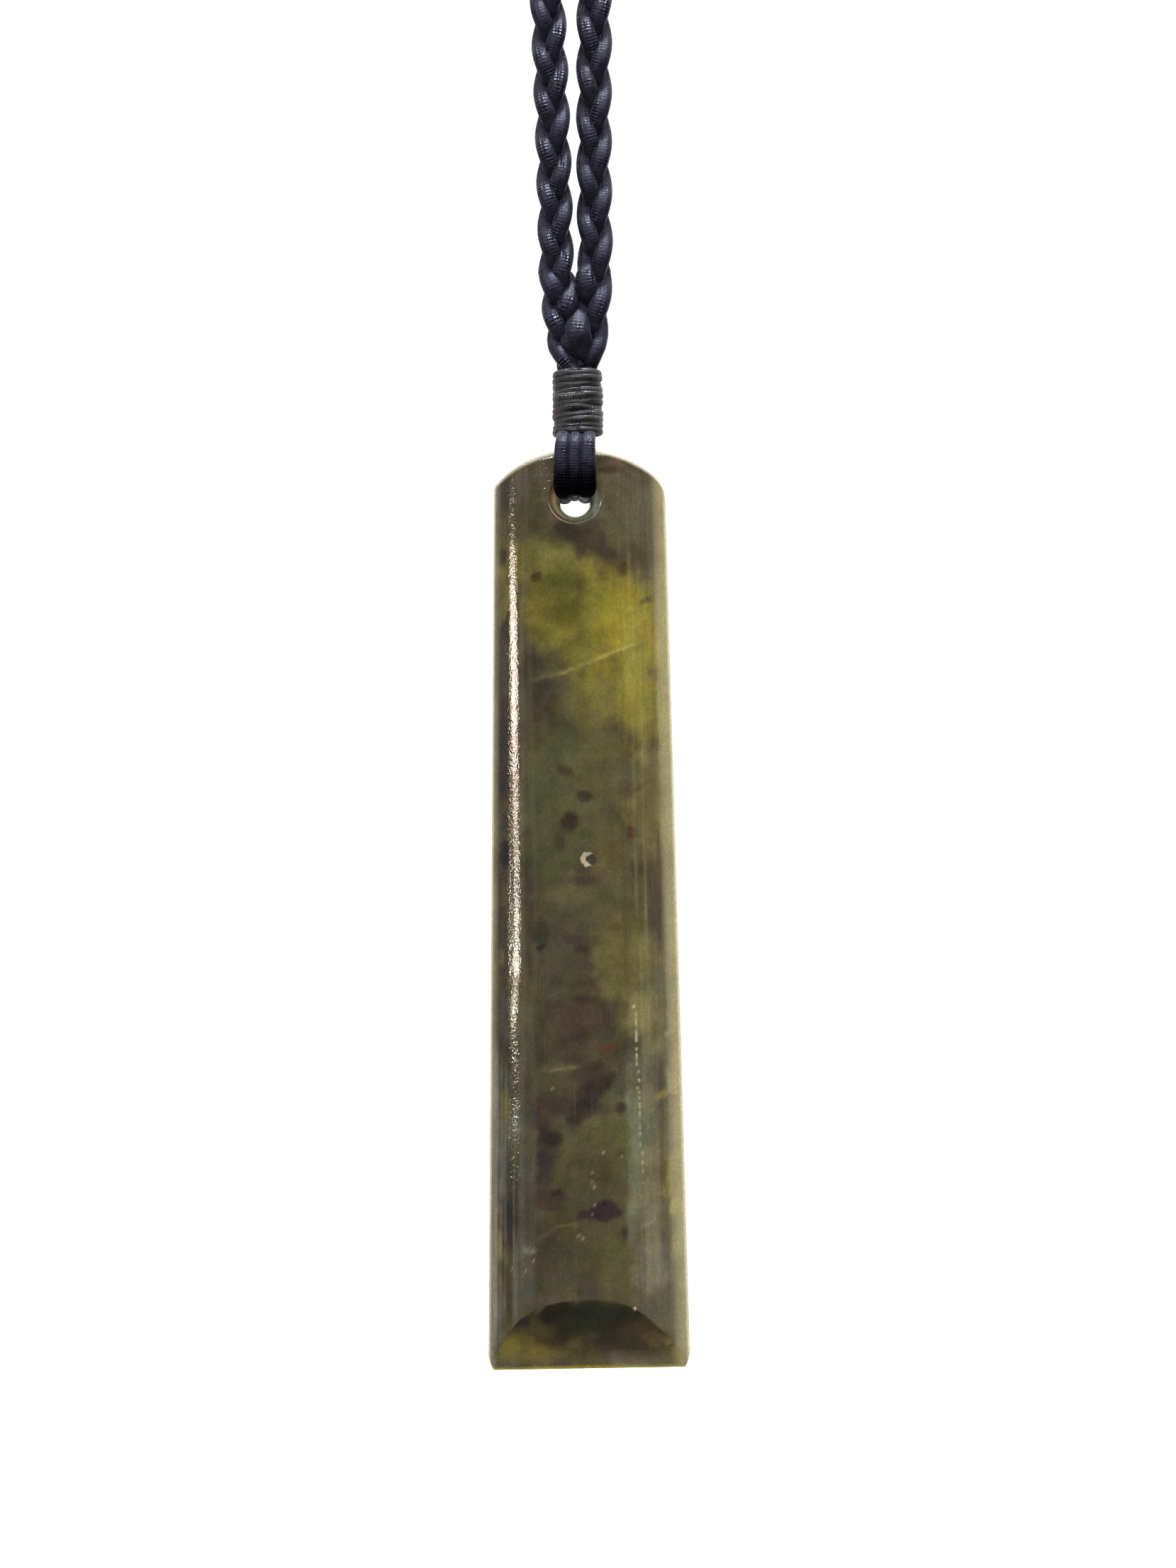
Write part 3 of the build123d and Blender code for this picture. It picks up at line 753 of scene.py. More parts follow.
# The same for the bevel, whose dark ground is partly the stone's colour and partly painted dark reflection,
# as the bevel faces down; its yellow and brown clouds are the stone's own
bevelMarks = [
    (-0.12, 2.89, 6.38, 2.46, 0, 0.2, 0.95, "#37301f"),
    (0.13, 4.11, 3.83, 1.18, 0, 0.5, 0.95, "#1d1f17"),
    (-2.6, 4.52, 1.37, 0.73, 20, 0.5, 0.9, "#1c1914"),
    (-0.71, 3.12, 2.28, 0.73, 0, 0.6, 0.85, "#212117"),
    (-2.18, 2.6, 0.91, 0.73, -35, 0.6, 0.85, "#221e15"),
    (-4.67, 3.51, 0.68, 0.5, 40, 0.5, 0.9, "#1f1a16"),
    (-3.72, 2.81, 1.37, 0.73, -10, 0.6, 0.75, "#3b331f"),
    (-4.65, 1.91, 1.91, 0.91, 0, 0.5, 0.9, "#4f4822"),
    (-5.56, 1.75, 0.91, 0.73, 30, 0.6, 0.8, "#5d5426"),
    (-3.32, 2.35, 0.91, 0.46, -20, 0.6, 0.6, "#4f4522"),
    (-2.83, 1.43, 1.64, 0.46, 0, 0.5, 0.8, "#594f22"),
    (-1.18, 1.99, 0.73, 0.41, 0, 0.7, 0.6, "#463b20"),
    (1.37, 2.18, 2.0, 1.0, 0, 0.6, 0.85, "#2a241c"),
    (1.76, 3.31, 1.09, 0.64, -20, 0.6, 0.7, "#272019"),
    (2.13, 1.34, 2.28, 0.36, 0, 0.6, 0.8, "#2a221b"),
    (3.67, 3.28, 1.09, 1.0, -38, 0.6, 0.8, "#30281b"),
    (4.2, 2.22, 1.18, 0.73, -20, 0.8, 0.6, "#4a402a"),
    (5.2, 2.11, 0.73, 0.82, 0, 0.7, 0.85, "#655836"),
    (5.28, 1.79, 0.5, 0.21, 18, 0.6, 0.85, "#30281c"),
    (4.64, 1.3, 0.64, 0.23, 10, 0.6, 0.7, "#4a3d20"),
    (-3.9, 0.8, 2.5, 0.8, 0, 0.6, 0.85, "#574e26"),
    (2.2, 0.4, 3.2, 0.5, 0, 0.7, 0.6, "#33291c"),
    (5.6, 0.9, 0.9, 0.9, 0, 0.7, 0.7, "#5c5026"),
    (-3.2, 2.5, 0.95, 0.5, -25, 0.8, 0.6, "#25211a"),
    (-2.3, 1.8, 1.05, 0.6, -25, 0.8, 0.65, "#2f2a1c"),
    (2.6, 0.6, 2.9, 0.75, 0, 0.8, 0.85, "#29231a"),
    (-4.4, 0.6, 2.0, 0.75, -8, 0.7, 0.8, "#675a25"),
]
# Pale specks: across, height above the edge, half size
stoneSpecks = [
    (0.01, 13.41, 0.12), (0.18, 12.59, 0.18), (0.81, 14.72, 0.1), (1.94, 14.38, 0.15), (-0.83, 9.5, 0.14),
    (-3.77, 7.78, 0.14), (-4.29, 7.06, 0.11), (-5.24, 7.03, 0.1), (-2.36, 18.83, 0.15), (0.16, 11.36, 0.11),
    (0.01, 10.77, 0.09), (-0.6, 9.27, 0.09), (0.1, 12.95, 0.12),
]

# Bands along the stone: share across, half width, height from and to, softness, strength, colour
stoneBands = [
    # pale rims at both sides: painted light through the thin edges
    (-0.985, 0.035, 0, 60, 0.9, 0.75, "#9a9684"),
    (0.985, 0.06, 0, 60, 0.9, 0.85, "#aaa583"),
    # olive, brown and grey bands along the right side
    (0.9, 0.07, 22, 50, 0.8, 0.45, "#8a8258"),
    (0.9, 0.1, 38, 52, 0.8, 0.4, "#8f8648"),
    (0.8, 0.022, 31, 50, 0.7, 0.6, "#66561f"),
    (0.68, 0.17, 20.5, 28.5, 0.5, 0.55, "#6c6640"),
    (0.66, 0.11, 6, 21, 0.5, 0.5, "#6e6950"),
    (0.805, 0.028, 29, 35.5, 0.7, 0.7, "#37281d"),
    (0.8, 0.03, 8, 25, 0.8, 0.4, "#5d5433"),
    # grey green bands beside the left facets and on the right shoulder: painted reflection
    (-0.66, 0.05, 3, 52, 0.8, 0.4, "#615c4c"),
    (-0.62, 0.08, 5, 18, 0.4, 0.25, "#54524a"),
    (0.5, 0.12, 8.5, 20.5, 0.3, 0.5, "#5f614e"),
    (0.49, 0.08, 11, 17, 0.6, 0.35, "#6c7059"),
    # thin lines along the right shoulder
    (0.45, 0.02, 30, 54, 0.9, 0.3, "#5e5823"),
    (0.55, 0.02, 30, 54, 0.9, 0.3, "#8a8042"),
    (0.65, 0.02, 28, 52, 0.9, 0.3, "#8f8546"),
    (0.36, 0.02, 20, 50, 0.9, 0.25, "#565124"),
    # pale band low on the left side: painted light
    (-0.94, 0.05, 2, 21, 0.7, 0.75, "#938f84"),
    # thin pale lines low on the left side
    (-0.93, 0.012, 2, 16, 0.8, 0.6, "#9a988a"),
    (-0.875, 0.01, 2, 20, 0.8, 0.5, "#7f7e74"),
    (-0.83, 0.01, 4, 20, 0.8, 0.4, "#75746c"),
    (-0.745, 0.012, 6, 14, 0.8, 0.4, "#747674"),
    (-0.725, 0.035, 3.4, 8.6, 0.5, 0.45, "#74746b"),
]


def lattice(x, z, scale, seed):
    # smooth noise from -1 to 1, the same at every run
    size = 64
    table = np.random.default_rng(seed).uniform(-1, 1, (size, size))
    # the offsets only choose the stretch of the noise that lies on the stone
    column, row = x / scale + 100.0, z / scale + 1000.0
    left, low = np.floor(column).astype(int), np.floor(row).astype(int)
    shareX, shareZ = smoothstep(column - left, 0, 1), smoothstep(row - low, 0, 1)
    corner = [[table[(left + i) % size, (low + j) % size] for j in (0, 1)] for i in (0, 1)]
    near = corner[0][0] * (1 - shareZ) + corner[0][1] * shareZ
    far = corner[1][0] * (1 - shareZ) + corner[1][1] * shareZ
    return near * (1 - shareX) + far * shareX


def layered(x, z, scale, seed, layers=4):
    # noise with finer and weaker noise laid over it
    return sum(lattice(x, z, scale / 2 ** i, seed + i) / 1.7 ** i for i in range(layers)) / 1.6


def plain(count, hexColour):
    return np.tile(linear(hexColour)[:3], (count, 1))


def tinted(colour, share, hexColour):
    return colour + (np.array(linear(hexColour)[:3]) - colour) * np.clip(share, 0, 1)[:, None]


def paintMarks(x, z):
    # colour of the stone at places of the front; noise is named by its size in millimetres and its seed
    above = z - stone["edgeZ"]
    across = (x - middleAt(z)) / halfWidthAt(z)
    warpX = 0.16 * layered(x, z, 1.1, 11) + 0.1 * lattice(x, z, 3.0, 17)
    warpZ = 0.22 * layered(x, z, 1.3, 21) + 0.15 * lattice(x, z, 3.5, 27)
    ragged = layered(x, z, 1.2, 31)
    broad = layered(x, z * 0.6, 5.0, 41)
    fine = layered(x, z * 0.7, 1.6, 51)
    body = smoothstep(above - bevelEnd(across), -0.04, 0.06)
    colour = plain(len(x), stoneLook["dark"])
    colour = tinted(colour, smoothstep(broad, -0.5, 0.5), stoneLook["olive"])
    colour = tinted(colour, 0.5 * smoothstep(fine, 0.1, 0.8), stoneLook["grey"])
    reach = stoneLook["markReach"]
    for marks, region in ((stoneMarks, body), (bevelMarks, 1 - body)):
        for middle, height, halfX, halfZ, lean, softness, strength, hexColour in marks:
            turn = radians(lean)
            # small marks are bent less
            loose = min(1.0, min(halfX, halfZ) / 0.5)
            dx, dz = x + loose * warpX - middle, above + loose * warpZ - height
            u = (dx * np.cos(turn) + dz * np.sin(turn)) / halfX
            v = (dz * np.cos(turn) - dx * np.sin(turn)) / halfZ
            distance = np.hypot(u, v) + stoneLook["raggedness"] * ragged
            share = strength * smoothstep(-distance, -reach, softness - reach) * region
            colour = tinted(colour, share, hexColour)
    for middle, half, low, high, softness, strength, hexColour in stoneBands:
        distance = np.abs(across - middle) / half + 0.15 * ragged
        share = strength * smoothstep(-distance, -1, -1 + softness) * (0.85 + 0.3 * fine) * body
        share = share * smoothstep(above, low - 1, low + 1.2) * smoothstep(-above, -high - 1.2, -high + 1)
        colour = tinted(colour, share, hexColour)
    # streaks left by grinding, mostly on the two sides, then blotches of all sizes
    streak = lattice(across * 6, z * 0.03, 0.16, 61) + 0.6 * lattice(across * 6, z * 0.05, 0.07, 62)
    side = 0.03 + 0.12 * smoothstep(across, 0.3, 0.45) + 0.1 * smoothstep(-across, 0.5, 0.7)
    colour = colour * (1 + side * body * streak)[:, None]
    colour = colour * (1 + 0.28 * layered(x, z, 1.0, 71, 3))[:, None]
    # warmer here, cooler there: shares of red, green and blue
    colour = colour * (1 + np.outer(layered(x, z, 1.5, 83), (0.1, 0.0, -0.08)))
    for middle, height, half in stoneSpecks:
        distance = np.hypot(x - middle, above - height) / half
        colour = tinted(colour, 0.4 * smoothstep(-distance, -0.95, -0.25), stoneLook["speck"])
    # painted glints: a dotted highlight along the right arris
    chance = np.random.default_rng(5)
    for share in np.cumsum(chance.uniform(0.012, 0.045, stoneLook["glints"])):
        middle = stoneLook["glintX"] + stoneLook["glintLean"] * share + chance.uniform(-0.04, 0.04)
        height = stoneLook["glintHeight"] - stoneLook["glintDrop"] * share
        halfX, halfZ = stoneLook["glintHalfWidth"], chance.uniform(0.07, 0.16)
        distance = np.hypot((x - middle) / halfX, (above - height) / halfZ)
        strength = chance.uniform(0.25, 1.0) * (0.85 - 0.5 * share)
        colour = tinted(colour, strength * smoothstep(-distance, -1.5, -0.5), stoneLook["glint"])
    return np.clip(colour, 0.002, 1)


# Pale borders where light comes through the thin sides: side, share across from and to, strength,
# whether it is uneven, colour
stoneBorders = [
    (1, 0.78, 0.96, 0.75, True, "#9c9468"),
    (1, 0.955, 0.995, 0.65, False, "#d9d2b4"),
    (-1, 0.9, 0.975, 0.55, True, "#9a917f"),
    (-1, 0.97, 0.99, 0.65, False, "#d6d6bd"),
]


def paintStone(points):
    # the back is the same stone seen from behind, so its clouds lie a little elsewhere
    x, y, z = points.T
    front = paintMarks(x, z)
    backX = np.clip(x + 3.0 * lattice(x, z, 9.0, 81), -4.8, 4.8)
    backZ = np.clip(z + 5.0 * lattice(x, z, 14.0, 91), stone["edgeZ"] + 5.5, stone["apexZ"] - 1)
    back = paintMarks(backX, backZ)
    colour = front + (back - front) * smoothstep(y, 0.2, 1.9)[:, None]
    across = (x - middleAt(z)) / halfWidthAt(z)
    uneven = 0.9 + 0.35 * layered(x * 0.3, z * 0.7, 1.6, 51)
    for side, low, high, strength, broken, hexColour in stoneBorders:
        share = strength * smoothstep(side * across, low, high)
        colour = tinted(colour, share * uneven if broken else share, hexColour)
    # the rims of poll and cutting edge: along the poll a painted highlight, brighter towards the right, and
    # along the cutting edge a thin olive line
    poll = (0.45 + 0.4 * smoothstep(x, 0.3, 1.2)) * smoothstep(z - topZ(x), -0.3, -0.1)
    colour = tinted(colour, poll, stoneLook["crest"])
    colour = tinted(colour, 0.7 * smoothstep(stone["edgeZ"] - z, -0.22, -0.06), stoneLook["edge"])
    # walls of the hole: brown at the left, grey green at the right; paler towards the waist and at the
    # bottom, which is painted light through the stone and on the lower wall
    besideX, besideZ = x - stone["holeX"], z - stone["holeZ"]
    distance = np.hypot(besideX, besideZ)
    right = smoothstep(besideX / distance, -0.6, 0.5)
    low = 0.5 * smoothstep(-besideZ / distance, 0.5, 0.95)
    outer = tinted(plain(len(points), stoneLook["wallLeft"]), right, stoneLook["wallRight"])
    litWaist = tinted(plain(len(points), stoneLook["litWaistLeft"]), right, stoneLook["waistRight"])
    litWaist = tinted(litWaist, low, stoneLook["litWaistLow"])
    inward = stone["holeRim"] - distance
    wall = outer + (litWaist - outer) * smoothstep(inward, 0.08, 0.25)[:, None]
    return colour + (wall - colour) * smoothstep(inward, -0.12, 0)[:, None]


# Scars of the front: across, height above the edge, radius, open to the right from, colour
stoneScars = [
    (0.12, 33.55, 0.64, 0.75, "#8f856c"),
    (0.36, 33.52, 0.53, 0.9, "#342e26"),
    (2.69, 4.62, 0.27, 1.0, "#ae9b86"),
]


def stoneMaterial():
    material, tree, shader = newMaterial("Jade, ground and polished")
    place = objectMm(tree)
    colour = addNode(tree, "ShaderNodeAttribute", attribute_name="clouds").outputs["Color"]
    fine = noise(tree, place, 0.9, 4.0, 0.6)
    grain = noise(tree, place, 5.0, 4.0, 0.65)
    beads = noise(tree, place, 6.5, 1.0, 0.5)
    # grain too fine for the mesh
    grained = mixColour(tree, 1.0, colour, linear(stoneLook["grain"]), "MULTIPLY")
    colour = mixColour(tree, fade(tree, grain, 0.35, 0.7, 0.35, 0.0), colour, grained)
    # fine lines along the stone, left by the polish
    stretched = addNode(tree, "ShaderNodeMapping", {"Vector": place, "Scale": (7.0, 2.0, 0.16)}).outputs[0]
    lines = noise(tree, stretched, 1.0, 3.0, 0.6)
    colour = mixColour(tree, fade(tree, lines, 0.62, 0.8, 0.0, 0.08), colour, linear(stoneLook["line"]))
    # pale crescent in the pit, and the chip over the bevel
    coarse = mathNode(tree, "SUBTRACT", noise(tree, place, 3.0, 3.0, 0.7), 0.25)
    for across, above, radius, opening, hexColour in stoneScars:
        inputs = {"Vector": place, "Location": (across, 0, stone["edgeZ"] + above), "Scale": (1, 1000, 1)}
        local = addNode(tree, "ShaderNodeMapping", inputs, vector_type="TEXTURE").outputs[0]
        distance = addNode(tree, "ShaderNodeVectorMath", {0: local}, operation="LENGTH").outputs["Value"]
        distance = mathNode(tree, "MULTIPLY_ADD", coarse, 0.5, distance)
        beside = addNode(tree, "ShaderNodeSeparateXYZ", {0: local}).outputs[0]
        inside = fade(tree, distance, radius, radius - 0.1)
        scar = mathNode(tree, "MULTIPLY", inside, fade(tree, beside, opening, opening - 0.15))
        colour = mixColour(tree, scar, colour, linear(hexColour))
    inputs = {0: colour, "Scale": stoneLook["gain"]}
    gained = addNode(tree, "ShaderNodeVectorMath", inputs, operation="SCALE").outputs[0]
    rough = fade(tree, grain, 0.3, 0.7, stoneLook["roughness"] - 0.02, stoneLook["roughness"] + 0.03)
    # relief of the polish, with the share of each noise in it
    relief = 0.0
    for part, weight in ((lines, 0.5), (grain, 0.8), (fine, 2.0), (beads, 1.8), (coarse, 2.0)):
        relief = mathNode(tree, "MULTIPLY_ADD", part, weight, relief)
    inputs = {"Height": relief, "Strength": 1.0, "Distance": stoneLook["reliefDepth"]}
    setInputs(tree, shader, {
        "Base Color": gained,
        "Roughness": rough,
        "IOR": stoneLook["ior"],
        "Subsurface Weight": stoneLook["subsurface"],
        "Subsurface Radius": stoneLook["subsurfaceTint"],
        "Subsurface Scale": stoneLook["subsurfaceDepth"],
        "Normal": addNode(tree, "ShaderNodeBump", inputs).outputs[0],
    })
    return material


stonePoints, stoneQuads = stoneMesh()
makePiece("stone_body", stonePoints, stoneQuads, ["toki_stone"], "stone", stoneMaterial(),
          colours=paintStone(stonePoints))
print("stone done", len(stoneQuads))


# Cord: three strands plaited, one long plait over the top of the loop

strandTurn = 2 * pi / 3     # between one strand of a plait and the next
plait = {
    "sway": 0.6,            # how far a strand swings to either side
    "depth": 0.46,          # and front to back
    "halfWidth": 0.58,      # half a strand across the plait
    "halfThickness": 0.4,
    "rightStep": 3.207,     # between the bulges on one side, right and left of the loop
    "rightBulge": -328.65,  # height of one bulge of the right plait's right side
    "leftStep": 2.96,
    "leftBulge": -330.37,
    "restStep": 3.04,
    "endLength": 25.0,      # stretch at either end that keeps its own steps
    "stepsPerBulge": 10,
    "pointsPerRun": 400,
    "partingZ": -343.625,
    "twistFrom": 240.0,     # half a twist of the plait, out of sight round the neck
    "twistTo": 460.0,
}
# Route of the plait's centre line: across, height above the parting, up on the right and down on the left
plaitRoute = [(1.275, 0), (1.275, 6), (1.48, 17), (2.0, 38), (3.1, 80), (4.55, 137), (5.95, 194), (7.2, 251),
              (8.1, 300), (8.4, 325), (8.45, 344.8), (-8.45, 344.8), (-8.38, 324), (-8.1, 298), (-7.3, 250),
              (-6.1, 193), (-4.7, 136), (-3.2, 80), (-2.05, 38), (-1.5, 17), (-1.275, 6), (-1.275, 0)]


def routeLine():
    # smooth line that touches the middle of every run
    points = np.array(plaitRoute, dtype=float)
    middles = (points[1:] + points[:-1]) / 2
    middles[0], middles[-1] = points[0], points[-1]
    line = []
    for start, corner, end in zip(middles, points[1:-1], middles[1:]):
        t = np.linspace(0, 1, plait["pointsPerRun"], endpoint=False)[:, None]
        line.append((1 - t) ** 2 * start + 2 * t * (1 - t) * corner + t ** 2 * end)
    line = np.concatenate(line + [points[-1:]])
    lengths = np.concatenate([[0], np.cumsum(np.hypot(*np.diff(line, axis=0).T))])
    return line, lengths


flatRoute, routeLengths = routeLine()
routeLength = routeLengths[-1]


def plaitTurn(s):
    # turn of the plaiting pattern at a distance along the route, in radians
    end = plait["endLength"]
    rightStart = plait["rightBulge"] - plait["partingZ"]
    leftStart = routeLength - (plait["leftBulge"] - plait["partingZ"])
    rightRate, leftRate = strandTurn / plait["rightStep"], strandTurn / plait["leftStep"]
    rightTurn = pi / 6 + (end - rightStart) * rightRate
    leftTurn = pi / 6 + (routeLength - end - leftStart) * leftRate
    # as many whole steps between both ends as fit best
    wanted = rightTurn + (routeLength - 2 * end) * strandTurn / plait["restStep"]
    leftTurn += strandTurn * round((wanted - leftTurn) / strandTurn)
    s = np.asarray(s, dtype=float)
    middle = rightTurn + (s - end) * (leftTurn - rightTurn) / (routeLength - 2 * end)
    right = rightTurn + (s - end) * rightRate
    left = leftTurn + (s - routeLength + end) * leftRate
    return np.where(s < end, right, np.where(s > routeLength - end, left, middle))


def plaitStrand(strand):
    step = plait["restStep"] / plait["stepsPerBulge"]
    s = np.linspace(0, routeLength, int(routeLength / step))
    x = np.interp(s, routeLengths, flatRoute[:, 0])
    z = np.interp(s, routeLengths, flatRoute[:, 1]) + plait["partingZ"]
    centre = np.stack([x, np.zeros_like(x), z], axis=1)
    along = unit(np.gradient(centre, axis=0))
    side = np.stack([along[:, 2], np.zeros_like(x), -along[:, 0]], axis=1)
    front = np.broadcast_to([0.0, -1.0, 0.0], side.shape)
    twist = (pi * smoothstep(s, plait["twistFrom"], plait["twistTo"]))[:, None]
    side, front = side * np.cos(twist) + front * np.sin(twist), front * np.cos(twist) - side * np.sin(twist)
    turn = plaitTurn(s) + strand * strandTurn
    across = -plait["sway"] * np.sin(turn)
    deep = plait["depth"] * np.sin(2 * turn)
    centres = centre + side * across[:, None] + front * deep[:, None]
    return tube(centres, front, plait["halfWidth"], plait["halfThickness"])


# Waxed polyester cord, braided: near black with a grey violet sheen and fine crossways threads
cordLook = {
    "colour": "#09080d",
    "worn": "#191822",
    "roughness": 0.5,
    "specular": 0.4,
    "sheen": 0.08,
    "shine": "#c8c8f4",
    "threadPitch": 0.36,
    "threadsAround": 6,
    "patches": (1, 1, 1),    # stretch of the worn patches
    "reliefDepth": 0.00005,  # metres
    "deepestShade": 0.1,          # share of the colour and shine left where the painted shade is deepest
    "shadeStartZ": -355.3,       # heights between which the painted shade deepens, downwards
    "shadeDeepZ": -356.9,
}
# Waxed polyester thread, wound tight: dark grey with a soft waxy shine
threadLook = {
    "colour": "#0a0a0c",
    "worn": "#272728",
    "roughness": 0.45,
    "specular": 0.65,
    "sheen": 0.06,
    "shine": "#e8e6ee",
    "threadPitch": 0.2,
    "threadsAround": 6,
    "patches": (0.7, 0.7, 1.9),
    "reliefDepth": 0.00005,
    # painted shade at the foot of the binding
    "deepestShade": 0.35,
    "shadeStartZ": -353.0,
    "shadeDeepZ": -354.3,
}


# a cord made with shade below gets painted shade: colour, shine and sheen darker downwards, where the cord
# turns into the hole and at the foot of the binding
def cordMaterial(name, look, shadedBelow=False):
    # a rubbed cord has lost its wax, and with it its light, towards the hole
    material, tree, shader = newMaterial(name)
    lengthwise = addNode(tree, "ShaderNodeUVMap", uv_map="along").outputs[0]
    parts = addNode(tree, "ShaderNodeSeparateXYZ", {0: lengthwise})
    along = mathNode(tree, "MULTIPLY", parts.outputs[0], 2 * pi / look["threadPitch"])
    around = mathNode(tree, "MULTIPLY", parts.outputs[1], 2 * pi * look["threadsAround"])
    ridges = mathNode(tree, "MULTIPLY", mathNode(tree, "SINE", mathNode(tree, "ADD", along, around)),
                      mathNode(tree, "SINE", mathNode(tree, "SUBTRACT", along, around)))
    place = objectMm(tree)
    patches = addNode(tree, "ShaderNodeMapping", {"Vector": place, "Scale": look["patches"]}).outputs[0]
    worn = noise(tree, patches, 1.4, 3.0, 0.6)
    wear = fade(tree, worn, 0.35, 0.7, 0.0, 0.6)
    colour = mixColour(tree, wear, linear(look["colour"]), linear(look["worn"]))
    specular, sheen = look["specular"], look["sheen"]
    if shadedBelow:
        # painted shade: darker colour, shine and sheen below the given heights, with a ragged border
        height = addNode(tree, "ShaderNodeSeparateXYZ", {0: place}).outputs[2]
        height = mathNode(tree, "MULTIPLY_ADD", worn, 0.6, height)
        left = fade(tree, height, look["shadeDeepZ"], look["shadeStartZ"], look["deepestShade"], 1.0)
        inputs = {0: colour, "Scale": left}
        colour = addNode(tree, "ShaderNodeVectorMath", inputs, operation="SCALE").outputs[0]
        specular = mathNode(tree, "MULTIPLY", left, specular)
        sheen = mathNode(tree, "MULTIPLY", left, sheen)
    spots = fade(tree, noise(tree, place, 0.9, 2.0, 0.5), 0.5, 0.64)
    # relief: crossing threads, clearest in the shiny spots, then wear and fuzz
    ridges = mathNode(tree, "MULTIPLY", ridges, mathNode(tree, "MULTIPLY_ADD", spots, 0.6, 0.15))
    relief = mathNode(tree, "ADD", ridges, worn)
    relief = mathNode(tree, "MULTIPLY_ADD", noise(tree, place, 4.5, 3.0, 0.6), 0.9, relief)
    inputs = {"Height": relief, "Strength": 0.9, "Distance": look["reliefDepth"]}
    setInputs(tree, shader, {
        "Base Color": colour,
        "Roughness": mathNode(tree, "MULTIPLY_ADD", spots, -0.25, look["roughness"]),
        "Specular IOR Level": specular,
        "Specular Tint": linear(look["shine"]),
        "Sheen Weight": sheen,
        "Sheen Roughness": 0.4,
        "Sheen Tint": linear(look["shine"]),
        "IOR": 1.5,
        "Normal": addNode(tree, "ShaderNodeBump", inputs).outputs[0],
    })
    return material


cordStuff = cordMaterial("Waxed cord, plaited", cordLook)
shadedCordStuff = cordMaterial("Waxed cord, painted with shade towards the hole", cordLook, shadedBelow=True)
threadStuff = cordMaterial("Waxed thread, wound", threadLook, shadedBelow=True)
for strand in range(3):
    points, quads, uvs = plaitStrand(strand)
    makePiece(f"plait_strand_{strand + 1}", points, quads, ["neck_plait"], "cord", cordStuff, uvs)
    print("plait strand", strand + 1, len(quads))

# Yoke: the six ends go on plaited while they draw together into the binding

yoke = {
    "topZ": plait["partingZ"],
    "endZ": -350.9,
    "overlap": 0.22,          # inside the ends of the plait strands
    "leftTightening": 1.25,   # the left plait's steps get shorter here
    "lobeZ": -347.9,          # one strand stands out over the middle
    "lobeLength": 1.3,
    "lobeShift": -0.5,
    "lobeForward": 0.32,
    "lobeWidening": 0.45,
    "points": 64,
    "sides": 20,
}
# Height, half the spacing of the two plaits, sway, depth, half width and half thickness of a strand,
# share of the way to the bundle's places
yokeKeys = [
    (-343.4, 1.275, 0.6, 0.46, 0.56, 0.38, 0.0),
    (-343.6, 1.25, 0.6, 0.46, 0.59, 0.41, 0.0),
    (-343.9, 1.15, 0.6, 0.46, 0.66, 0.42, 0.0),
    (-344.3, 1.08, 0.6, 0.46, 0.69, 0.43, 0.0),
    (-345.0, 1.07, 0.6, 0.46, 0.67, 0.45, 0.0),
    (-346.0, 1.02, 0.6, 0.47, 0.65, 0.46, 0.0),
    (-347.0, 0.95, 0.58, 0.47, 0.62, 0.47, 0.0),
    (-347.8, 0.88, 0.56, 0.47, 0.59, 0.47, 0.0),
    (-348.5, 0.82, 0.54, 0.47, 0.57, 0.47, 0.05),
    (-349.2, 0.74, 0.49, 0.46, 0.52, 0.46, 0.15),
    (-349.7, 0.66, 0.46, 0.45, 0.48, 0.45, 0.35),
    (-350.1, 0.62, 0.42, 0.42, 0.42, 0.42, 0.8),
    (-350.9, 0.6, 0.4, 0.4, 0.38, 0.38, 1.0),
]
# Places in the bundle: across and towards the viewer, for the three strands of either side
bundlePlaces = {
    1: [(0.75, 0.4), (0.05, -0.7), (0.8, -0.42)],
    -1: [(-0.75, -0.4), (0.0, 0.62), (-0.8, 0.42)],
}


def yokeStrand(sign, strand):
    z = np.linspace(yoke["topZ"] + yoke["overlap"], yoke["endZ"], yoke["points"])
    keys = np.array(yokeKeys)[::-1]
    spacing, sway, depth, wide, thick, share = [np.interp(z, keys[:, 0], keys[:, i]) for i in range(1, 7)]
    # the pattern goes on past both ends of the plait's route
    along = z - yoke["topZ"]
    if sign < 0:
        along = routeLength - along * yoke["leftTightening"]
    turn = plaitTurn(along) + strand * strandTurn
    across, deep = -sway * np.sin(turn), sign * depth * np.sin(2 * turn)
    placeX, placeFront = bundlePlaces[sign][strand]
    x = (sign * spacing + across) * (1 - share) + placeX * share
    front = deep * (1 - share) + placeFront * share
    if sign > 0 and strand == 0:
        lobe = np.exp(-((z - yoke["lobeZ"]) / yoke["lobeLength"]) ** 2)
        x = x + yoke["lobeShift"] * lobe
        front = front + yoke["lobeForward"] * lobe
        wide = wide * (1 + yoke["lobeWidening"] * lobe)
    centres = np.stack([x, -front, z], axis=1)
    return tube(centres, (0, -1, 0), wide, thick, yoke["sides"])


points, quads, uvs = joinTubes([yokeStrand(sign, strand) for sign in (1, -1) for strand in range(3)])
makePiece("yoke_strands", points, quads, ["plait_yoke"], "cord", cordStuff, uvs)
print("yoke done", len(quads))

# Binding: thread wound round the six strands

bindingLow, bindingHigh = boxMm("binding")
binding = {
    "turns": 11.2,
    "levelShare": 0.07,       # stretch at either end that lies level, roughly as a share of all turns
    "radius": 1.44,
    "middleX": -0.02,
    "startAngle": 1.2,
    "threadHalfWidth": 0.27,
    "threadHalfThickness": 0.2,
    "wobble": 0.08,
    "slack": 0.09,            # how far single turns stray up and down
    "drift": 0.05,
    "topNarrowing": 0.05,
    "tuck": 0.3,              # how far both ends go in, over this angle
    "tuckAngle": 1.5,
    "pointsPerTurn": 60,
    "sides": 14,
}


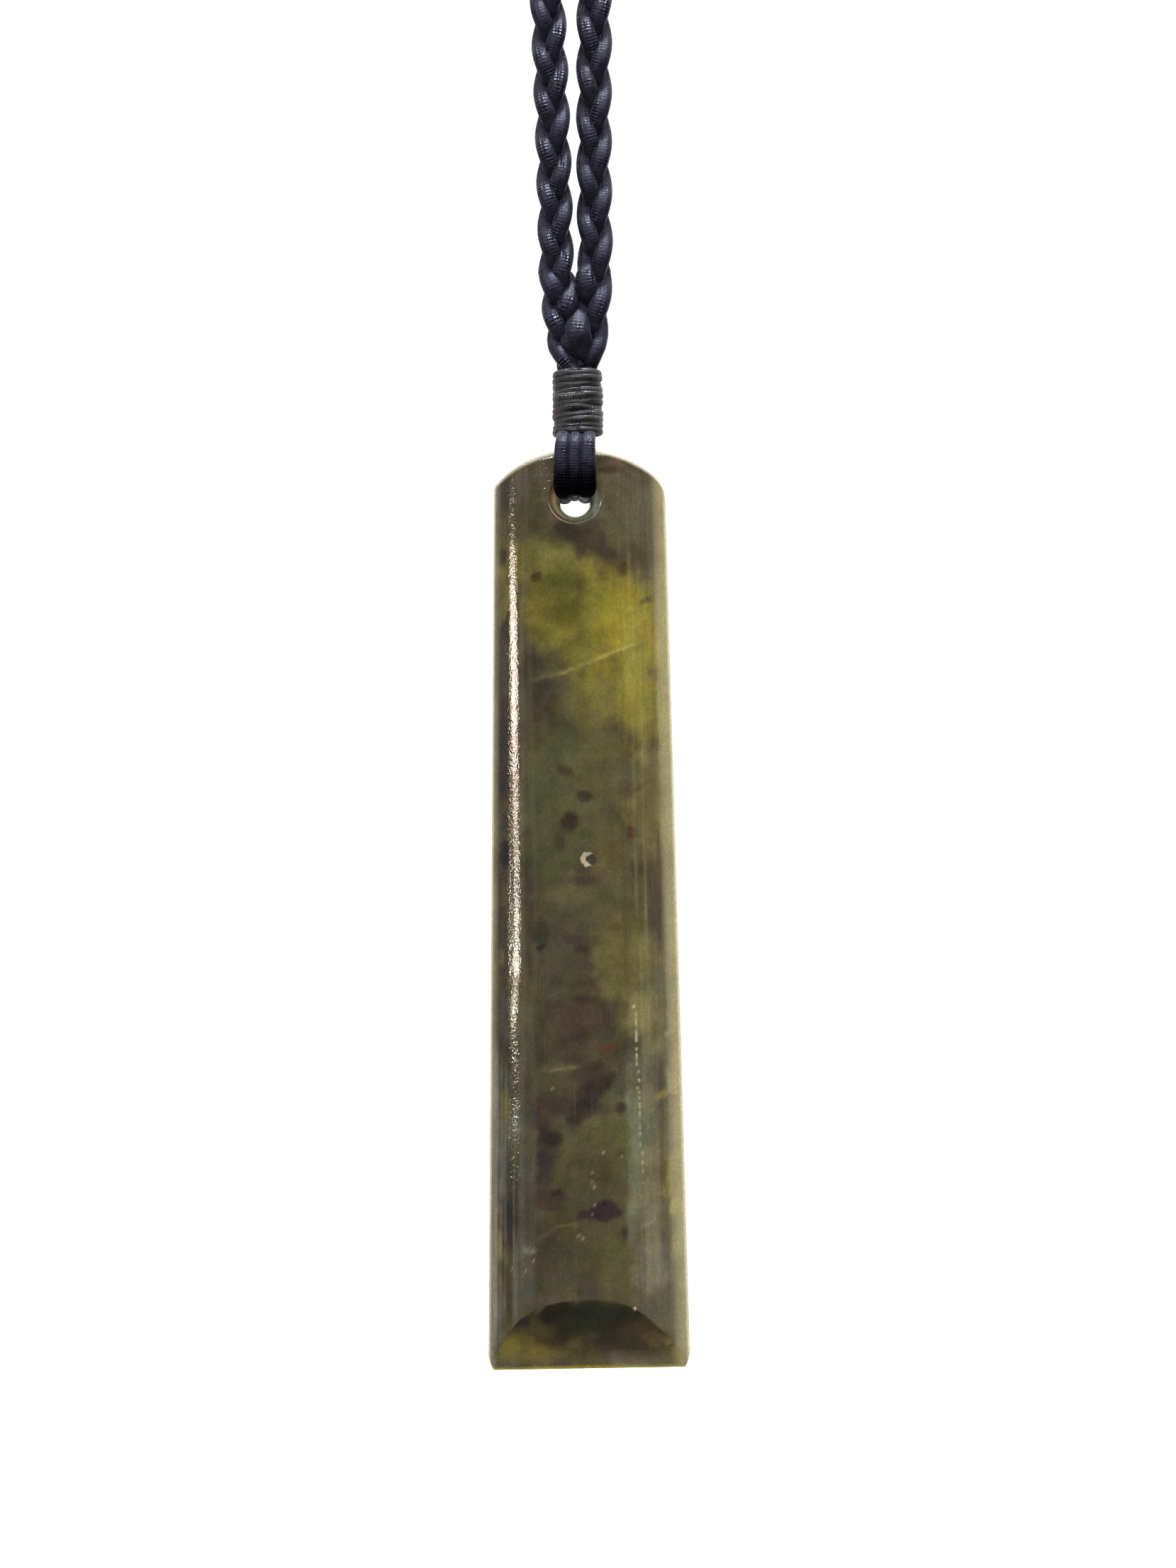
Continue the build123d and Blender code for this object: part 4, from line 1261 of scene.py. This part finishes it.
def bindingThread():
    angle = np.linspace(0, 2 * pi * binding["turns"], int(binding["turns"] * binding["pointsPerTurn"]))
    level = binding["levelShare"]
    share = np.clip(angle / angle[-1] * (1 + 2 * level) - level, 0, 1)
    lift = bindingHigh[2] - bindingLow[2] - 2 * binding["threadHalfWidth"]
    uneven = (np.sin(angle * 0.31 + 1) + np.sin(angle * 0.77) + 0.7 * np.sin(angle * 1.53 + 2)) / 2.7
    slack = binding["slack"] * np.sin(3 * angle + 1) * np.sin(0.37 * angle) + binding["drift"] * uneven
    z = bindingLow[2] + binding["threadHalfWidth"] + lift * share + slack * np.sin(pi * share)
    tuckAngle = binding["tuckAngle"]
    ends = smoothstep(angle, 0, tuckAngle) * smoothstep(angle[-1] - angle, 0, tuckAngle)
    radius = binding["radius"] + binding["wobble"] * uneven
    radius = radius - binding["topNarrowing"] * smoothstep(share, 0.7, 1) - binding["tuck"] * (1 - ends)
    turn = angle + binding["startAngle"]
    outward = np.stack([np.cos(turn), np.sin(turn), np.zeros_like(turn)], axis=1)
    centres = outward * radius[:, None] + np.stack([np.full_like(z, binding["middleX"]), 0 * z, z], axis=1)
    halfWidth, halfThickness = binding["threadHalfWidth"], binding["threadHalfThickness"]
    return tube(centres, outward, halfWidth, halfThickness, binding["sides"])


points, quads, uvs = bindingThread()
makePiece("binding_thread", points, quads, ["binding"], "cord", threadStuff, uvs)
print("binding done", len(quads))

# Hole strands: three cords doubled through the hole, side by side over the poll

holeStrands = {
    "nodes": ["hole_strand_left", "hole_strand_middle", "hole_strand_right"],
    "neckX": [-0.9, -0.14, 0.66],      # where they leave the binding
    "lowX": [-1.16, -0.36, 0.53],      # over the rim of the hole
    "boreX": [-0.73, -0.3, 0.14],      # inside the hole
    "throughLift": [0.18, 0.36, 0.2],  # above the middle of the hole
    "neckHalfWidth": 0.45,
    "bendHalfWidth": 0.48,
    "halfWidth": [0.49, 0.5, 0.56],
    "boreHalfWidth": 0.29,
    "halfThickness": 0.33,
    "legY": 2.42,
    "points": 150,
    "smoothings": 6,
    "sides": 20,
}


def holeStrand(number):
    legY, overZ = holeStrands["legY"], stone["apexZ"]
    throughZ = stone["holeZ"] + holeStrands["throughLift"][number]
    # down the front and into the hole: depth, height, and 0 at the binding, 1 at the rim, 2 in the bore
    half = [
        (0.0, overZ + 1.6, 0),
        (-0.5, overZ + 1.3, 0),
        (-1.2, overZ + 0.93, 0.1),
        (-1.93, overZ + 0.66, 0.3),
        (-2.38, overZ + 0.3, 0.55),
        (-legY, overZ - 0.4, 0.8),
        (-legY, overZ - 1.2, 0.95),
        (-legY, throughZ + 0.9, 1.0),
        (-legY + 0.12, throughZ + 0.38, 1.0),
        (-legY + 0.45, throughZ + 0.08, 1.1),
        (-legY + 1.0, throughZ, 1.5),
        (0.0, throughZ, 2.0),
    ]
    # and the same way up the back
    route = np.array(half + [(-y, z, share) for y, z, share in half[-2::-1]])
    steps = np.linspace(0, len(route) - 1, holeStrands["points"])
    fine = np.stack([np.interp(steps, np.arange(len(route)), column) for column in route.T], axis=1)
    # bends softened by a short average, several times over
    kernel = np.array([1, 4, 6, 4, 1]) / 16
    for _ in range(holeStrands["smoothings"]):
        padded = np.concatenate([fine[:1]] * 2 + [fine] + [fine[-1:]] * 2)
        fine = np.stack([np.convolve(column, kernel, "valid") for column in padded.T], axis=1)
    y, z, share = fine.T
    x = np.interp(share, [0, 1, 2], [holeStrands[key][number] for key in ("neckX", "lowX", "boreX")])
    centres = np.stack([x, y, z], axis=1)
    flat = np.cross(unit(np.gradient(centres, axis=0)), (1.0, 0.0, 0.0))
    widths = [holeStrands["neckHalfWidth"], holeStrands["bendHalfWidth"], holeStrands["halfWidth"][number],
              holeStrands["boreHalfWidth"]]
    halfWidth = np.interp(share, [0, 0.6, 1, 2], widths)
    return tube(centres, flat, halfWidth, holeStrands["halfThickness"], holeStrands["sides"])


for number, node in enumerate(holeStrands["nodes"]):
    points, quads, uvs = holeStrand(number)
    makePiece(node + "_cord", points, quads, [node], "cord", shadedCordStuff, uvs)
print("hole strands done")

# Floor, light and camera, in metres

studio = {
    "floorZ": -0.475,
    "floorSize": 3.0,
    "floorColour": "#f4f4f2",
    "floorRoughness": 0.9,
    "back": 1.15,            # brightness behind the pendant
    "side": 0.22,
    "front": 0.08,           # behind the camera
    "skew": 0.21,            # the bright back reaches further round at the right
    "left": 0.35,            # share of the light that is left at the far left
    "top": 1.9,
    "below": 0.06,           # seen only in reflections
    "lens": 67.1,
    "sensor": 36,
    "cameraPlace": (0.00023, -0.190, -0.37684),
    "cameraRoll": 0.97,      # degrees
    "clipStart": 0.01,
    "clipEnd": 20,
}
# Area lamps: name, place, aim, width, height, power, colour
lamps = [
    # three strips one over the other give the bright line of the left facet, with a weaker middle
    ("strip_left", (-0.30, 0.07, -0.355), (0, 0, -0.385), 0.013, 0.075, 0.005, "#ffeee2"),
    ("strip_left_upper", (-0.299, 0.07, -0.354), (0, 0, -0.385), 0.034, 0.032, 0.112, "#ffe4d0"),
    ("strip_left_lower", (-0.299, 0.07, -0.4005), (0, 0, -0.385), 0.018, 0.014, 0.054, "#fff4dc"),
    ("strip_left_front", (-0.27, -0.127, -0.40), (0, 0, -0.39), 0.05, 0.3, 0.014, "#ffffff"),
    # soft shine on the cords
    ("cords_left", (-0.075, -0.125, -0.30), (0, 0, -0.345), 0.02, 0.02, 0.07, "#ffffff"),
    ("cords_top", (0.06, -0.09, 0.25), (0, 0, -0.35), 0.09, 0.09, 7.6, "#ffffff"),
    ("key", (0.14, -0.45, -0.06), (0, 0, -0.38), 0.3, 0.3, 1.45, "#ffffff"),
]


def buildFloor():
    bpy.ops.mesh.primitive_plane_add(size=studio["floorSize"], location=(0, 0, studio["floorZ"]))
    floor = bpy.context.object
    floor.name = "floor"
    material, tree, shader = newMaterial("Paper, matt white")
    inputs = {"Base Color": linear(studio["floorColour"]), "Roughness": studio["floorRoughness"]}
    setInputs(tree, shader, inputs)
    floor.data.materials.append(material)
    floor.visible_glossy = False


def buildWorld():
    world = bpy.data.worlds.new("studio")
    bpy.context.scene.world = world
    world.use_nodes = True
    tree = world.node_tree
    tree.nodes.clear()
    way = addNode(tree, "ShaderNodeTexCoord").outputs["Generated"]
    across, back, up = addNode(tree, "ShaderNodeSeparateXYZ", {0: way}).outputs
    skewed = mathNode(tree, "MULTIPLY_ADD", across, studio["skew"], back)
    skewed = mathNode(tree, "MULTIPLY_ADD", mathNode(tree, "ABSOLUTE", across), -studio["skew"] / 2, skewed)
    # bright behind the pendant, darker behind the camera and at the far left
    level = fade(tree, skewed, 0.35, 0.8, studio["side"], studio["back"])
    behind = fade(tree, back, -0.6, 0.1, studio["front"] / studio["side"], 1.0)
    left = fade(tree, across, -0.9, -0.45, studio["left"], 1.0)
    level = mathNode(tree, "MULTIPLY", mathNode(tree, "MULTIPLY", level, behind), left)
    # another brightness overhead, and little from below
    overhead = fade(tree, up, 0.35, 0.9)
    level = mathNode(tree, "MULTIPLY", level, mathNode(tree, "SUBTRACT", 1.0, overhead))
    level = mathNode(tree, "MULTIPLY_ADD", overhead, studio["top"], level)
    strength = mathNode(tree, "MULTIPLY", level, fade(tree, up, -0.5, -0.2, studio["below"], 1.0))
    background = addNode(tree, "ShaderNodeBackground", {"Color": (1, 1, 1, 1), "Strength": strength})
    output = addNode(tree, "ShaderNodeOutputWorld")
    tree.links.new(background.outputs[0], output.inputs[0])


def areaLight(name, place, aim, width, height, power, colour):
    light = bpy.data.lights.new(name, "AREA")
    light.color = linear(colour)[:3]
    light.shape = "RECTANGLE"
    light.size, light.size_y = width, height
    light.energy = power
    lamp = bpy.data.objects.new(name, light)
    bpy.context.scene.collection.objects.link(lamp)
    lamp.location = place
    lamp.rotation_euler = (Vector(aim) - Vector(place)).to_track_quat("-Z", "Y").to_euler()


def buildCamera():
    camera = bpy.data.cameras.new("camera")
    camera.lens = studio["lens"]
    camera.sensor_width = studio["sensor"]
    camera.clip_start = studio["clipStart"]
    camera.clip_end = studio["clipEnd"]
    holder = bpy.data.objects.new("camera", camera)
    bpy.context.scene.collection.objects.link(holder)
    holder.location = studio["cameraPlace"]
    holder.rotation_euler = (pi / 2, radians(studio["cameraRoll"]), 0)
    bpy.context.scene.camera = holder


buildFloor()
buildWorld()
for lamp in lamps:
    areaLight(*lamp)
buildCamera()
bpy.context.scene.view_settings.view_transform = "Standard"
print("studio done")
